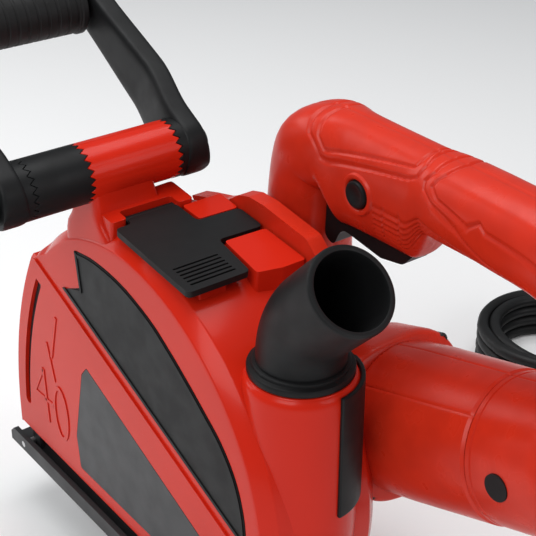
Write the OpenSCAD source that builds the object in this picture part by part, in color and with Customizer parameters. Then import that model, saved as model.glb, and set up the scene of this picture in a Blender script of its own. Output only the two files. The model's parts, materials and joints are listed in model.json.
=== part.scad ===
// Wall chaser: a twin-disc groove cutter with a drum guard over two diamond discs,
// a sole hinged at the rear of the guard, a bow handle at the front, a D-handle at
// the rear, an angled dust outlet and a mains cord.
// X points forward, Y to the left, Z up. The origin is under the middle of the
// machine, on the surface that the discs stand on. All sizes are in millimetres.

/* [Discs] */
// Diameter of each diamond disc
disc_d = 230; // [200:1:230]
// Thickness of a disc
disc_t = 2.4; // [1.8:0.1:3]
// Distance between the middles of the two discs
disc_pitch = 36; // [20:1:40]
// Bore of a disc
disc_bore = 22.2; // [20:0.1:25.4]
// Radius of the clamping flanges
flange_r = 24; // [20:1:30]

/* [Guard] */
// Outer radius of the guard drum
guard_r = 120; // [118:0.5:130]
// Half of the guard's width
guard_half = 34.4; // [32:0.2:40]
// Wall of the guard casting
guard_wall = 2.2; // [2:0.1:4]
// Width of the bevel at each side of the rim
bevel_w = 7; // [3:0.5:9]
// Radial depth of that bevel
bevel_h = 5.5; // [2:0.5:7]
// Thickness of the side cover
cover_t = 2.5; // [2:0.1:4]
// Depth of the guard's lower edge below the spindle
foot_drop = 60; // [50:1:64]
// How far the front of the guard stands proud of the drum
front_step = 2.5; // [1:0.5:6]

/* [Sole] */
// Distance of the sole's pivot behind the spindle
pivot_back = 112; // [100:1:120]
// Depth of the sole's pivot below the spindle
pivot_drop = 56; // [50:1:60]
// Depth of the sole's underside below the spindle at full cut
sole_drop = 75; // [72:1:90]
// Thickness of the sole plate
sole_t = 3; // [2:0.5:5]
// Length of the sole in front of the pivot
sole_len = 254; // [240:1:270]
// Length of the sole behind the pivot
sole_tail = 26; // [20:1:40]
// Half of the sole's width
sole_half = 39; // [37:0.5:46]
// Height of the sole's turned-up edges
sole_edge = 10; // [6:0.5:11]
// Width of the disc opening in the sole
sole_slot_w = 50; // [44:1:56]
// Radius of the pivot pin
pivot_r = 4; // [3:0.5:5]
// Radius of the sole's rollers
roller_r = 6; // [5:0.5:7]
// Radius of a roller's axle
axle_r = 2; // [1.5:0.25:3]
// Width of the arc slot in the side cover
slot_w = 6; // [4:0.5:8]
// Distance of the arc slot's middle from the guard's front edge
slot_inset = 13.5; // [10:0.5:18]

/* [Motor] */
// Tilt of the motor axis, up to the rear, in degrees
motor_tilt = 18; // [10:1:24]
// Distance of the motor axis to the right of the guard's middle
motor_off = 70; // [66:1:76]
// Outer radius of the motor housing at its front
motor_r = 39; // [37:0.5:44]
// Outer radius of the rear cap
cap_r = 36; // [34:0.5:40]
// Wall of the motor housing
motor_wall = 3; // [2.5:0.1:4]
// Distance from the spindle to the gear housing's rear face
gear_len = 124; // [118:1:130]
// Distance from the spindle to the rear cap's seam
seam_len = 182; // [176:1:190]
// Distance from the spindle to the end of the rear cap
motor_len = 238; // [232:1:250]
// Outer radius of the gear housing
gear_r = 42; // [40:0.5:46]

/* [Handles] */
// Distance of the handle bar in front of the spindle
bar_fwd = 35.3; // [30:0.5:45]
// Height of the handle bar above the spindle
bar_up = 145.7; // [140:0.5:160]
// Radius of the clamping sleeves on the bar
bar_r = 15.2; // [13:0.1:17]
// Length of the fixed sleeve
sleeve_len = 51; // [46:1:56]
// Length of the loose sleeve between the left hub and the fixed sleeve
spacer_len = 31; // [26:1:36]
// Length of each bow arm
bow_len = 108; // [96:1:120]
// Rise of the bow arms above the horizontal, in degrees
bow_rise = 28; // [10:1:40]
// Radius of the front grip
bow_grip_r = 15; // [13:0.5:18]
// Radius of the D-handle's grip
grip_r = 19; // [17:0.5:21]
// Height of the D-handle's grip above the spindle
grip_up = 162; // [156:1:175]
// Radius of the lock button
lock_r = 7; // [5:0.5:8]

/* [Dust outlet] */
// Distance of the outlet's middle behind the spindle
outlet_back = 99; // [95:1:105]
// Height of the outlet's collar above the spindle
outlet_up = 88; // [84:1:94]
// Half of the outlet box's width
outlet_half = 27; // [25.5:0.5:30]
// Outer radius of the elbow's pipe
port_r = 21; // [19:0.5:23]
// Wall of the elbow
port_wall = 3; // [2:0.5:4]
// Middle radius of the elbow's bend
bend_r = 40; // [34:1:50]
// Length of the elbow's straight mouth
mouth_len = 31; // [26:1:40]

/* [Cord] */
// Diameter of the mains cord
cord_d = 8.5; // [7:0.1:10]

/* [Hidden] */
$fn = 96;

// Clearances: running fits, free faces and thin reveals.
run_gap = 0.05;
free_gap = 0.3;
eps = 0.01;

disc_r = disc_d / 2;

// Guard
inner_r = guard_r - guard_wall;
rim_half = guard_half - bevel_w;
cover_y = guard_half - cover_t;
pivot_x = -pivot_back;
pivot_z = -pivot_drop;
front_r = norm([pivot_back, pivot_drop]) + guard_r + front_step;
slot_r = front_r - slot_inset;
slot_a0 = 5;
slot_a1 = 29;
lever_x = 16;
lever_z = guard_r + 2.4;
crescent_r = 102;
insert_t = 1;
boss_r = 27;
screw_spots = [[-34, 90], [-88, 40], [-86, -42]];
screw_seat = 29.5;
screw_boss_end = disc_pitch / 2 + disc_t / 2 + 2;

// Sole
sole_z = -sole_drop;
sole_top = sole_z + sole_t;
sole_front = pivot_x + sole_len;
sole_rear = pivot_x - sole_tail;
slot_front = sqrt(pow(disc_r, 2) - pow(sole_drop, 2)) + 8;
roller_z = sole_z + roller_r - 1.5;
roller_front = sole_front - 16;
roller_rear = sole_rear + 10;
roller_half = 22;

// Handles
sleeve_right = -16.5;
sleeve_left = sleeve_right + sleeve_len;
spacer_left = sleeve_left + spacer_len;
hub_w = 17.5;
knob_len = 14;
flange_half = 42;
arm_flare = 9;
bow_x = bar_fwd + bow_len * cos(bow_rise);
bow_z = bar_up + bow_len * sin(bow_rise);
bolt_r = 5;
bracket_screw_y = [-6, 26];
motor_y = -motor_off;

// D-handle path, from the gear housing over the top to the rear cap
grip_path = [[-12, 48, 26], [-10, 118, 25], [-14, 138, 24], [-38, grip_up - 3, 20],
    [-110, grip_up, grip_r], [-182, grip_up - 2, grip_r], [-222, grip_up - 20, grip_r],
    [-238, grip_up - 50, 18], [-224, grip_up - 74, 17]];
grip_wall = 3;
grip_screw_spots = [[-22, 150], [-136, 162], [-214, 148]];
lock_x = -73;
lock_z = 151;
trigger_x = -44;
trigger_z = 146;
trigger_half = 7;

// Dust outlet
outlet_x = -outlet_back;
elbow_z = outlet_up + 3.7;
bend_z = elbow_z + 3.1;
bend_x = outlet_x - bend_r * (1 - cos(45));
mouth_x = bend_x - mouth_len * sin(45);
mouth_z = bend_z + bend_r * sin(45) + mouth_len * cos(45);
spigot_r = 17;

// Spindle
shaft_r = disc_bore / 2 - run_gap;
seat_r = 8.5;
race_r = 17.5;
gear_big_r = 29;
gear_face_y = motor_y + 9;
tail_y = motor_y - 22;
lock_y = gear_face_y + 7;
neck_r = shaft_r - 1;
web_y = -43.7;
plate_r = 33.4;
screw_circle = 43.4;

// Cord: the route runs from the strain relief to the floor and on to the coil
cord_r = cord_d / 2;
floor_z = -disc_r;
coil_x = 36;
coil_y = -345;
coil_r = 47;
coil_h = 4 * cord_d;
plug_z = floor_z + 18;

// The frame: everything below is placed from the spindle, then moved onto the floor.
front_x = bar_fwd + bow_len * cos(bow_rise) + bow_grip_r;
rear_x = grip_path[7][0] - grip_path[7][2];
mid_x = (front_x + rear_x) / 2;
left_y = spacer_left + hub_w + knob_len;
right_y = motor_y - flange_half;
mid_y = (left_y + right_y) / 2;

module place() {
    translate([-mid_x, -mid_y, disc_r]) children();
}

// A side outline (X forward, Z up) drawn out between two Y values.
module across(y_left, y_right) {
    translate([0, y_left, 0]) rotate([90, 0, 0]) linear_extrude(y_left - y_right) children();
}

module bar_y(x, z, r, y_left, y_right) {
    translate([x, y_left, z]) rotate([90, 0, 0]) cylinder(r = r, h = y_left - y_right);
}

module tube_y(x, z, r_out, r_in, y_left, y_right) {
    difference() {
        bar_y(x, z, r_out, y_left, y_right);
        bar_y(x, z, r_in, y_left + 1, y_right - 1);
    }
}

// A place on the motor axis, s behind the spindle; its Z runs to the rear along the axis.
module on_motor(s) {
    translate([0, motor_y, 0]) rotate([0, motor_tilt - 90, 0]) translate([0, 0, s]) children();
}

module motor_ring(s, len, r_out, r_in) {
    on_motor(s) difference() {
        cylinder(r = r_out, h = len);
        translate([0, 0, -1]) cylinder(r = r_in, h = len + 2);
    }
}

// The front block of the guard: part of a disc round the sole's pivot.
module front_outline(inset) {
    intersection() {
        translate([pivot_x, pivot_z]) circle(r = front_r - inset);
        polygon([[0, -foot_drop - 20], [0, 0], [guard_r * cos(38), guard_r * sin(38)],
            [guard_r + 60, guard_r * sin(38)], [guard_r + 60, -foot_drop + 22],
            [guard_r + 10 - inset, -foot_drop - 2], [guard_r - 20, -foot_drop - 20]]);
    }
}

// The drum with its bevelled sides and front block; inset shrinks it evenly.
module guard_form(inset, side) {
    intersection() {
        union() {
            bar_y(0, 0, guard_r - inset, rim_half, -rim_half);
            translate([0, rim_half, 0]) rotate([-90, 0, 0])
                cylinder(r1 = guard_r - inset, r2 = guard_r - inset - bevel_h * (bevel_w - side) / bevel_w,
                    h = bevel_w - side);
            translate([0, -rim_half, 0]) rotate([90, 0, 0])
                cylinder(r1 = guard_r - inset, r2 = guard_r - inset - bevel_h * (bevel_w - side) / bevel_w,
                    h = bevel_w - side);
            across(guard_half - side, side - guard_half) front_outline(inset);
        }
        translate([-200, -60, -foot_drop]) cube([400, 120, 260]);
    }
}

module outlet_outline(inset) {
    x0 = outlet_x - outlet_half + inset;
    x1 = outlet_x + outlet_half - inset;
    polygon([[x0, outlet_up - inset], [x1, outlet_up - inset], [x1 + 20, 10], [x1 + 8, -20],
        [x0 + 16, -20 + inset], [x0, 14 + inset]]);
}

// The round dust tower; inset shrinks it evenly.
module outlet_tower(inset) {
    intersection() {
        translate([outlet_x, 0, -30]) cylinder(r = outlet_half + 1 - inset, h = 30 + outlet_up - inset);
        across(40, -40) outlet_outline(inset - 1);
    }
}

module guard_casting() {
    color([0.82, 0.16, 0.1]) place() difference() {
        union() {
            intersection() {
                guard_form(0, 0);
                translate([-200, -60, -100]) cube([400, 60 + cover_y, 300]);
            }
            outlet_tower(0);
            translate([outlet_x, 0, outlet_up - 1]) cylinder(r = port_r + 4.2, h = 1.4);
            bar_y(pivot_x, pivot_z, 9, sole_half - 3.5, 20);
            bar_y(pivot_x, pivot_z, 9, -20, 3.5 - sole_half);
            // Rest for the latch lever's free end
            translate([-50, 6, 100]) cube([10, 16, 15.4]);
            across(cover_y, 20)
                polygon([[pivot_x, pivot_z + 9], [pivot_x, pivot_z - 4], [-96, -foot_drop], [-90, -30], [-106, -34]]);
            across(-20, -guard_half)
                polygon([[pivot_x, pivot_z + 9], [pivot_x, pivot_z - 4], [-96, -foot_drop], [-90, -30], [-106, -34]]);
            for (y = [26, -12]) bar_y(lever_x, lever_z, 3, y + 4, y - 4);
            for (y = [26, -12]) translate([lever_x - 3, y - 4, guard_r - 4]) cube([6, 8, lever_z - guard_r + 4]);
        }
        difference() {
            union() {
                guard_form(guard_wall, guard_wall);
                intersection() {
                    guard_form(guard_wall, 0);
                    translate([-200, 0, -100]) cube([400, 60, 300]);
                }
            }
            // Shoulder round the elbow's seat
            translate([outlet_x, 0, outlet_up - 1.5]) cylinder(r = port_r + 7.2, h = 12);
            // Bosses for the cover's screws, standing in from the rim
            for (p = screw_spots) hull() {
                bar_y(p[0], p[1], 6, screw_seat, screw_boss_end);
                bar_y(p[0] * 1.22, p[1] * 1.22, 6, screw_seat, screw_boss_end);
            }
        }
        outlet_tower(3);
        for (p = screw_spots) bar_y(p[0], p[1], 2, screw_seat + 1, screw_boss_end - 1);
        translate([outlet_x, 0, outlet_up - 6]) cylinder(r = spigot_r + free_gap, h = 12);
        translate([outlet_x, 0, outlet_up + 0.4]) cylinder(r = port_r + 4.2 + free_gap, h = 20);
        bar_y(0, 0, boss_r + free_gap, 0, -guard_half - 5);
        bar_y(pivot_x, pivot_z, pivot_r + run_gap, 60, -60);
        bar_y(lever_x, lever_z, 1.5, 40, -40);
        for (y = bracket_screw_y) translate([bar_fwd + 9, y, 90]) cylinder(r = 2, h = 40);
    }
}

// The arc slot that the sole's depth blade shows through.
module slot_outline(width, a0, a1) {
    translate([pivot_x, pivot_z]) {
        difference() {
            circle(r = slot_r + width / 2);
            circle(r = slot_r - width / 2);
            rotate(a0) translate([-400, -400]) square([800, 400]);
            rotate(a1) translate([-400, 0]) square([800, 400]);
        }
        for (a = [a0, a1]) rotate(a) translate([slot_r, 0]) circle(r = width / 2);
    }
}

// The black panel under the crescent's arc, drawn from the guard's own radius.
module crescent_outline() {
    intersection() {
        circle(r = crescent_r + 1);
        polygon([[49, 96], [44, 77], [63, 68], [-96, 3], [-130, 3], [-130, 130], [40, 130]]);
    }
}

module badge_outline() {
    intersection() {
        circle(r = crescent_r - 1);
        polygon([[44, 27], [-94, -30], [-94, -50], [60, -50], [62, -28], [50, 20]]);
    }
}

module side_cover() {
    color([0.86, 0.2, 0.14]) place() {
        difference() {
            union() {
                intersection() {
                    guard_form(0, 0);
                    translate([-200, cover_y, -100]) cube([400, 60, 300]);
                }
                // The diagonal band between the two inlaid panels
                across(guard_half + 1.2, guard_half - 0.5)
                    polygon([[94, 74], [94, 62], [-98, -16], [-98, -4]]);
                for (p = screw_spots) bar_y(p[0], p[1], 6, cover_y + 0.5, screw_seat);
            }
            across(guard_half + 5, cover_y - 5) slot_outline(slot_w, slot_a0, slot_a1);
            across(guard_half + 5, guard_half - insert_t) crescent_outline();
            across(guard_half + 5, guard_half - insert_t) badge_outline();
            for (p = screw_spots) bar_y(p[0], p[1], 2.1, 60, 0);
            for (p = screw_spots) bar_y(p[0], p[1], 3.8, 60, cover_y - 0.4);
        }
    }
}

module cover_screws() {
    color([0.25, 0.25, 0.26]) place() for (p = screw_spots) {
        bar_y(p[0], p[1], 3.6, guard_half - insert_t - 0.1, cover_y - 0.4);
        bar_y(p[0], p[1], 2, cover_y - 0.4, screw_boss_end);
    }
}

module crescent_insert() {
    color([0.16, 0.17, 0.18]) place()
        across(guard_half + 0.4, guard_half - insert_t) crescent_outline();
}

module badge_plate() {
    color([0.3, 0.3, 0.31]) place()
        across(guard_half + 0.2, guard_half - insert_t) badge_outline();
}

// The T-shaped latch on top of the rim; it hinges at its front edge.
module latch_lever() {
    color([0.12, 0.12, 0.13]) place() difference() {
        union() {
            bar_y(lever_x, lever_z, 3, 21.3, -7.3);
            translate([0, 0, lever_z]) rotate([0, -6, 0]) translate([0, 0, -1.4])
                linear_extrude(3.4)
                    polygon([[14, 21.5], [14, -7.5], [-5, -8], [-6, -33], [-26, -33], [-25, -7], [-55, -4],
                        [-55, 31], [9, 31], [9, 21.5]]);
        }
        bar_y(lever_x, lever_z, 1.5 + run_gap, 40, -40);
        for (i = [0:4]) translate([0, 0, lever_z]) rotate([0, -6, 0])
            translate([-37 - i * 4, 1, 1.2]) cube([1.6, 24, 3]);
    }
}

module lever_pin() {
    color([0.6, 0.6, 0.62]) place() bar_y(lever_x, lever_z, 1.5, 30, -16);
}

module handle_bracket() {
    color([0.83, 0.18, 0.12]) place() difference() {
        union() {
            bar_y(bar_fwd, bar_up, bar_r, sleeve_left, sleeve_right);
            hull() {
                translate([bar_fwd - 10, sleeve_right + 6, bar_up - 10]) cube([20, 26, 6]);
                translate([bar_fwd - 13, sleeve_right + 4, guard_r - 12]) cube([28, 45, 6]);
            }
        }
        bar_y(0, 0, guard_r, 60, -60);
        bar_y(bar_fwd, bar_up, bolt_r + free_gap, sleeve_left + 1, sleeve_right - 1);
        for (y = bracket_screw_y) translate([bar_fwd + 9, y, 90]) cylinder(r = 2, h = 28);
    }
}

module bracket_screws() {
    color([0.3, 0.3, 0.32]) place() for (y = bracket_screw_y) {
        translate([bar_fwd + 9, y, guard_r - 13.4]) cylinder(r = 2, h = 11);
    }
}

// Two flat arms that run forward from their hubs to the front grip.
module bow_handle() {
    color([0.13, 0.13, 0.14]) place() difference() {
        union() {
            hull() {
                bar_y(bar_fwd, bar_up, bar_r + 0.8, sleeve_right, sleeve_right - hub_w);
                bar_y(bow_x, bow_z, 12, sleeve_right - arm_flare, sleeve_right - arm_flare - 13);
            }
            hull() {
                bar_y(bar_fwd, bar_up, bar_r + 0.8, spacer_left + hub_w, spacer_left);
                bar_y(bow_x, bow_z, 12, spacer_left + arm_flare + 13, spacer_left + arm_flare);
            }
            bar_y(bow_x, bow_z, 9, spacer_left + arm_flare + 1, sleeve_right - arm_flare - 1);
        }
        bar_y(bar_fwd, bar_up, bolt_r + free_gap, 200, -200);
        bar_y(bar_fwd, bar_up, 14.5, 200, spacer_left + hub_w);
        bar_y(bar_fwd, bar_up, 9, sleeve_right - hub_w, -200);
    }
}

module front_grip() {
    color([0.1, 0.1, 0.1]) place()
        tube_y(bow_x, bow_z, bow_grip_r, 9, spacer_left + arm_flare - 3, sleeve_right - arm_flare + 3);
}

module spacer_sleeve() {
    color([0.15, 0.15, 0.16]) place()
        tube_y(bar_fwd, bar_up, bar_r, bolt_r + free_gap, spacer_left, sleeve_left);
}

module bow_bolt() {
    color([0.62, 0.62, 0.64]) place() {
        bar_y(bar_fwd, bar_up, bolt_r, spacer_left + hub_w, sleeve_right - hub_w);
        bar_y(bar_fwd, bar_up, 8.5, sleeve_right - hub_w, sleeve_right - hub_w - 5);
    }
}

module bow_knob() {
    color([0.12, 0.12, 0.12]) place() difference() {
        bar_y(bar_fwd, bar_up, 14, left_y, spacer_left + hub_w);
        for (a = [0:60:300]) translate([bar_fwd, 0, bar_up]) rotate([0, a, 0])
            bar_y(16.5, 0, 4, left_y + 1, spacer_left + hub_w + 3);
    }
}

// The sole: a plate with turned-up edges and two ears for the rear pivot.
module sole_plate() {
    color([0.14, 0.14, 0.15]) place() difference() {
        union() {
            translate([sole_rear, -sole_half, sole_z])
                cube([sole_front - sole_rear, 2 * sole_half, sole_t]);
            for (y = [sole_half, 3.2 - sole_half]) across(y, y - 3.2) {
                polygon([[sole_rear, sole_z], [sole_front, sole_z], [sole_front, sole_z + sole_edge - 4],
                    [sole_front - 4, sole_z + sole_edge], [sole_rear, sole_z + sole_edge]]);
                translate([pivot_x, pivot_z]) circle(r = 8);
                translate([pivot_x - 8, sole_z]) square([16, pivot_z - sole_z]);
            }
        }
        translate([-slot_front, -sole_slot_w / 2, sole_z - 5]) cube([2 * slot_front, sole_slot_w, 20]);
        for (x = [roller_front, roller_rear])
            translate([x - roller_r - 1, -roller_half - 1, sole_z - 5]) cube([2 * roller_r + 2, 2 * roller_half + 2, 14]);
        bar_y(pivot_x, pivot_z, pivot_r, 60, -60);
        bar_y(roller_front, roller_z, axle_r, 60, -60);
        bar_y(roller_rear, roller_z, axle_r, 60, -60);
    }
}

module pivot_pin() {
    color([0.62, 0.62, 0.64]) place() {
        bar_y(pivot_x, pivot_z, pivot_r, sole_half, -sole_half);
        bar_y(pivot_x, pivot_z, pivot_r + 2, sole_half + 2.5, sole_half);
        bar_y(pivot_x, pivot_z, pivot_r + 2, -sole_half, -sole_half - 2.5);
    }
}

// The curved steel blade that stands on the sole and slides behind the arc slot.
module depth_blade() {
    color([0.12, 0.12, 0.13]) place() {
        across(cover_y - free_gap, cover_y - free_gap - 2) difference() {
            slot_outline(9, -5, slot_a1 - 1.5);
            translate([-200, sole_top - 40]) square([500, 40]);
            translate([roller_front, roller_z]) circle(r = axle_r + run_gap);
        }
    }
}

module roller_axles() {
    color([0.6, 0.6, 0.62]) place() for (x = [roller_front, roller_rear])
        bar_y(x, roller_z, axle_r, sole_half, -sole_half);
}

module front_roller() {
    color([0.2, 0.2, 0.21]) place()
        tube_y(roller_front, roller_z, roller_r, axle_r + run_gap, roller_half, -roller_half);
}

module rear_roller() {
    color([0.2, 0.2, 0.21]) place()
        tube_y(roller_rear, roller_z, roller_r, axle_r + run_gap, roller_half, -roller_half);
}

module disc_left() {
    color([0.55, 0.55, 0.57]) place()
        tube_y(0, 0, disc_r, disc_bore / 2, disc_pitch / 2 + disc_t / 2, disc_pitch / 2 - disc_t / 2);
}

module disc_right() {
    color([0.55, 0.55, 0.57]) place()
        tube_y(0, 0, disc_r, disc_bore / 2, -disc_pitch / 2 + disc_t / 2, -disc_pitch / 2 - disc_t / 2);
}

module disc_spacer() {
    color([0.5, 0.5, 0.52]) place()
        tube_y(0, 0, flange_r - 2, disc_bore / 2, disc_pitch / 2 - disc_t / 2, -disc_pitch / 2 + disc_t / 2);
}

module inner_flange() {
    color([0.45, 0.45, 0.47]) place()
        tube_y(0, 0, flange_r, disc_bore / 2, -disc_pitch / 2 - disc_t / 2, -disc_pitch / 2 - disc_t / 2 - 6.5);
}

module clamp_nut() {
    color([0.2, 0.2, 0.21]) place() difference() {
        tube_y(0, 0, flange_r, disc_bore / 2, disc_pitch / 2 + disc_t / 2 + 8, disc_pitch / 2 + disc_t / 2);
        for (a = [0:90:270]) rotate([0, a, 0])
            bar_y(17, 0, 2.5, disc_pitch / 2 + disc_t / 2 + 9, disc_pitch / 2 + disc_t / 2 + 3);
    }
}

module spindle_shaft() {
    color([0.66, 0.66, 0.68]) place() {
        bar_y(0, 0, shaft_r, disc_pitch / 2 + disc_t / 2 + 8, -disc_pitch / 2 - disc_t / 2 - 6.5);
        bar_y(0, 0, neck_r, -disc_pitch / 2 - disc_t / 2 - 6.5, -guard_half - 0.5);
        bar_y(0, 0, seat_r, -guard_half - 0.5, motor_y - 12);
        bar_y(0, 0, 6, motor_y - 12, tail_y);
    }
}

module bevel_gear() {
    color([0.5, 0.5, 0.52]) place() difference() {
        union() {
            bar_y(0, 0, 14, gear_face_y + 14.5, gear_face_y + 10);
            bar_y(0, 0, gear_big_r, gear_face_y + 10, gear_face_y + 5);
            translate([0, gear_face_y + 5, 0]) rotate([90, 0, 0]) cylinder(r1 = gear_big_r, r2 = gear_big_r - 7, h = 5);
        }
        bar_y(0, 0, seat_r, 0, -200);
    }
}

module spindle_bearings() {
    color([0.7, 0.7, 0.72]) place() {
        tube_y(0, 0, race_r, seat_r + run_gap, -guard_half - 0.6, -guard_half - 10.6);
        tube_y(0, 0, 11, 6 + run_gap, motor_y - 14, tail_y);
    }
}

module gear_cover() {
    color([0.62, 0.62, 0.63]) place() difference() {
        union() {
            bar_y(0, 0, gear_r, -guard_half, -guard_half - 3);
            bar_y(0, 0, boss_r, -guard_half + 4, -guard_half);
            bar_y(0, 0, race_r + 4, -guard_half - 3, -guard_half - 10.6);
        }
        bar_y(0, 0, race_r, -guard_half - 0.6, -100);
        bar_y(0, 0, neck_r + free_gap, 10, -100);
    }
}

// Gear housing: a drum round the spindle and a neck along the motor axis.
module gear_housing() {
    color([0.78, 0.15, 0.1]) place() difference() {
        union() {
            bar_y(0, 0, gear_r, -guard_half - 3, motor_y - 26);
            on_motor(0) cylinder(r = 38, h = 98);
            on_motor(94) linear_extrude(gear_len - 94) flange_outline();
            lock_boss();
            // Web that carries the foot of the D-handle beside the guard
            across(-guard_half - free_gap, web_y)
                polygon([[-8, 30], [-8, 131], [-20, 131], [-58, 127], [-72, 116], [-64, 40]]);
        }
        bar_y(0, 0, gear_r - 6, 0, motor_y - 12);
        bar_y(0, 0, gear_r, 0, -guard_half - 3);
        bar_y(0, 0, 11, 0, tail_y);
        on_motor(0) cylinder(r = 33, h = 96);
        on_motor(96) cylinder(r = plate_r, h = 40);
        translate([20, lock_y, 0]) rotate([0, 90, 0]) cylinder(r = 4 + run_gap, h = 60);
        translate([-125, -guard_half - 0.2, -60]) cube([200, 60, 180]);
        for (a = [0:3]) on_motor(90) rotate(45 + a * 90) translate([screw_circle, 0, 0]) cylinder(r = 2, h = 40);
    }
}

module lock_boss() {
    translate([gear_r - 8, lock_y, 0]) rotate([0, 90, 0]) cylinder(r = 9, h = 9);
}

module flange_outline() {
    r = 10;
    c = flange_half - r;
    for (sx = [-1, 1]) for (sy = [-1, 1]) translate([sx * c, sy * c]) circle(r = r);
    square([2 * c, 2 * flange_half], center = true);
    square([2 * flange_half, 2 * c], center = true);
}

module spindle_lock() {
    color([0.12, 0.12, 0.12]) place() {
        translate([gear_big_r + 4, lock_y, 0]) rotate([0, 90, 0]) cylinder(r = 4, h = 14);
        translate([gear_r + 5, lock_y, 0]) rotate([0, 90, 0]) cylinder(r = 7.5, h = 4);
    }
}

module bearing_plate() {
    color([0.6, 0.6, 0.61]) place() motor_ring(97, 9, plate_r, 14);
}

module armature_shaft() {
    color([0.66, 0.66, 0.68]) place() {
        on_motor(28) cylinder(r = 5, h = motor_len - 48);
        on_motor(motor_len - 20) cylinder(r = 4, h = 10);
    }
}

module pinion() {
    color([0.55, 0.55, 0.57]) place() on_motor(15) cylinder(r1 = 6, r2 = 8.4, h = 13);
}

module armature_core() {
    color([0.5, 0.32, 0.16]) place() motor_ring(132, 42, 21, 5);
}

module commutator() {
    color([0.75, 0.45, 0.25]) place() motor_ring(192, 18, 13, 5);
}

module cooling_fan() {
    color([0.15, 0.15, 0.15]) place() {
        motor_ring(110, 3, 31, 5);
        motor_ring(113, 9, 9, 5);
        for (a = [0:40:320]) on_motor(113) rotate(a) translate([8, -0.8, 0]) cube([23, 1.6, 9]);
    }
}

module motor_bearings() {
    color([0.7, 0.7, 0.72]) place() {
        motor_ring(97, 9, 14, 5 + run_gap);
        motor_ring(motor_len - 19, 9, 9.5, 4 + run_gap);
    }
}

module stator() {
    color([0.45, 0.45, 0.47]) place() motor_ring(128, 50, motor_r - 6.2, 21.6);
}

module brush_holders() {
    color([0.8, 0.62, 0.25]) place() for (side = [-1, 1])
        on_motor(201) translate([-3.5, side > 0 ? 13.4 : -31.4, -6]) cube([7, 18, 12]);
}

module brush_caps() {
    color([0.12, 0.12, 0.12]) place() for (side = [-1, 1])
        on_motor(201) rotate([-90 * side, 0, 0]) translate([0, 0, 31.5]) cylinder(r = 6.5, h = 4.6);
}

module motor_housing() {
    color([0.8, 0.17, 0.12]) place() on_motor(gear_len) difference() {
        cylinder(r1 = motor_r, r2 = cap_r + 0.6, h = seam_len - gear_len);
        translate([0, 0, -1]) cylinder(r = motor_r - 6, h = seam_len - gear_len + 2);
    }
}

module rear_cap() {
    color([0.8, 0.17, 0.12]) place() difference() {
        union() {
            on_motor(seam_len) cylinder(r1 = cap_r, r2 = cap_r - 1, h = 40);
            on_motor(seam_len + 40) cylinder(r1 = cap_r - 1, r2 = cap_r - 9, h = motor_len - seam_len - 40);
        }
        on_motor(seam_len - 1) cylinder(r = cap_r - motor_wall - 1, h = 35);
        on_motor(seam_len + 33) cylinder(r = 22, h = 6);
        on_motor(seam_len + 34) cylinder(r = 9.5, h = motor_len - seam_len - 44);
        on_motor(201) rotate([90, 0, 0]) translate([0, 0, -60]) cylinder(r = 6.5 + free_gap, h = 120);
        on_motor(motor_len - 9) cylinder(r = 6, h = 20);
    }
}

module housing_screws() {
    color([0.3, 0.3, 0.32]) place() for (a = [0:3])
        on_motor(92) rotate(45 + a * 90) translate([screw_circle, 0, 0]) {
            cylinder(r = 1.9, h = gear_len - 92);
            translate([0, 0, gear_len - 92]) cylinder(r = 4, h = 4);
        }
}

module grip_chain(inset) {
    for (i = [0:len(grip_path) - 2]) hull() {
        translate([grip_path[i][0], motor_y, grip_path[i][1]]) sphere(r = grip_path[i][2] - inset, $fn = 28);
        translate([grip_path[i + 1][0], motor_y, grip_path[i + 1][1]]) sphere(r = grip_path[i + 1][2] - inset, $fn = 28);
    }
}

module grip_shell() {
    difference() {
        union() {
            grip_chain(0);
            bar_y(lock_x, lock_z, lock_r + 3, motor_y + 17.5, motor_y);
        }
        difference() {
            grip_chain(grip_wall);
            for (p = grip_screw_spots) bar_y(p[0], p[1], 4.5, 0, -140);
            bar_y(trigger_x, trigger_z, 4, 0, -140);
        }
        bar_y(trigger_x, trigger_z, 1.6, motor_y + 9.3, motor_y - 9.3);
        for (p = grip_screw_spots) bar_y(p[0], p[1], 1.9, motor_y + 8, motor_y - 60);
        on_motor(-20) cylinder(r = 38.4, h = 130);
        on_motor(94) cylinder(r = 60, h = gear_len - 90);
        bar_y(0, 0, gear_r + free_gap, -20, -120);
        on_motor(seam_len - 10) cylinder(r = cap_r + free_gap, h = 70);
        translate([-114, motor_y - trigger_half - free_gap, 100]) cube([80, 2 * trigger_half + 2 * free_gap, 52]);
        bar_y(lock_x, lock_z, lock_r + free_gap, 0, motor_y + 4);
        on_motor(motor_len - 5) cylinder(r = 9.4, h = 60);
    }
}

module grip_left() {
    color([0.84, 0.2, 0.14]) place() intersection() {
        grip_shell();
        translate([-300, motor_y, 0]) cube([400, 60, 300]);
    }
}

module grip_right() {
    color([0.84, 0.2, 0.14]) place() intersection() {
        grip_shell();
        translate([-300, motor_y - 60, 0]) cube([400, 60, 300]);
    }
}

module grip_screws() {
    color([0.3, 0.3, 0.32]) place() for (p = grip_screw_spots)
        bar_y(p[0], p[1], 1.8, motor_y + 8, motor_y - 16);
}

module switch_body() {
    color([0.15, 0.15, 0.16]) place() translate([-104, motor_y - 10, grip_up - 3])
        cube([50, 20, 13]);
}

module speed_module() {
    color([0.2, 0.2, 0.22]) place() translate([-176, motor_y - 14, grip_up - 8.5])
        cube([30, 28, 14]);
}

module trigger() {
    color([0.12, 0.12, 0.13]) place() difference() {
        across(motor_y + trigger_half, motor_y - trigger_half)
            polygon([[-40, 150], [-38, 112], [-45, 109], [-51, 121], [-80, 117], [-96, 120], [-108, 134],
                [-108, 147], [-60, 151]]);
        bar_y(trigger_x, trigger_z, 1.6 + run_gap, 0, -200);
    }
}

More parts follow.
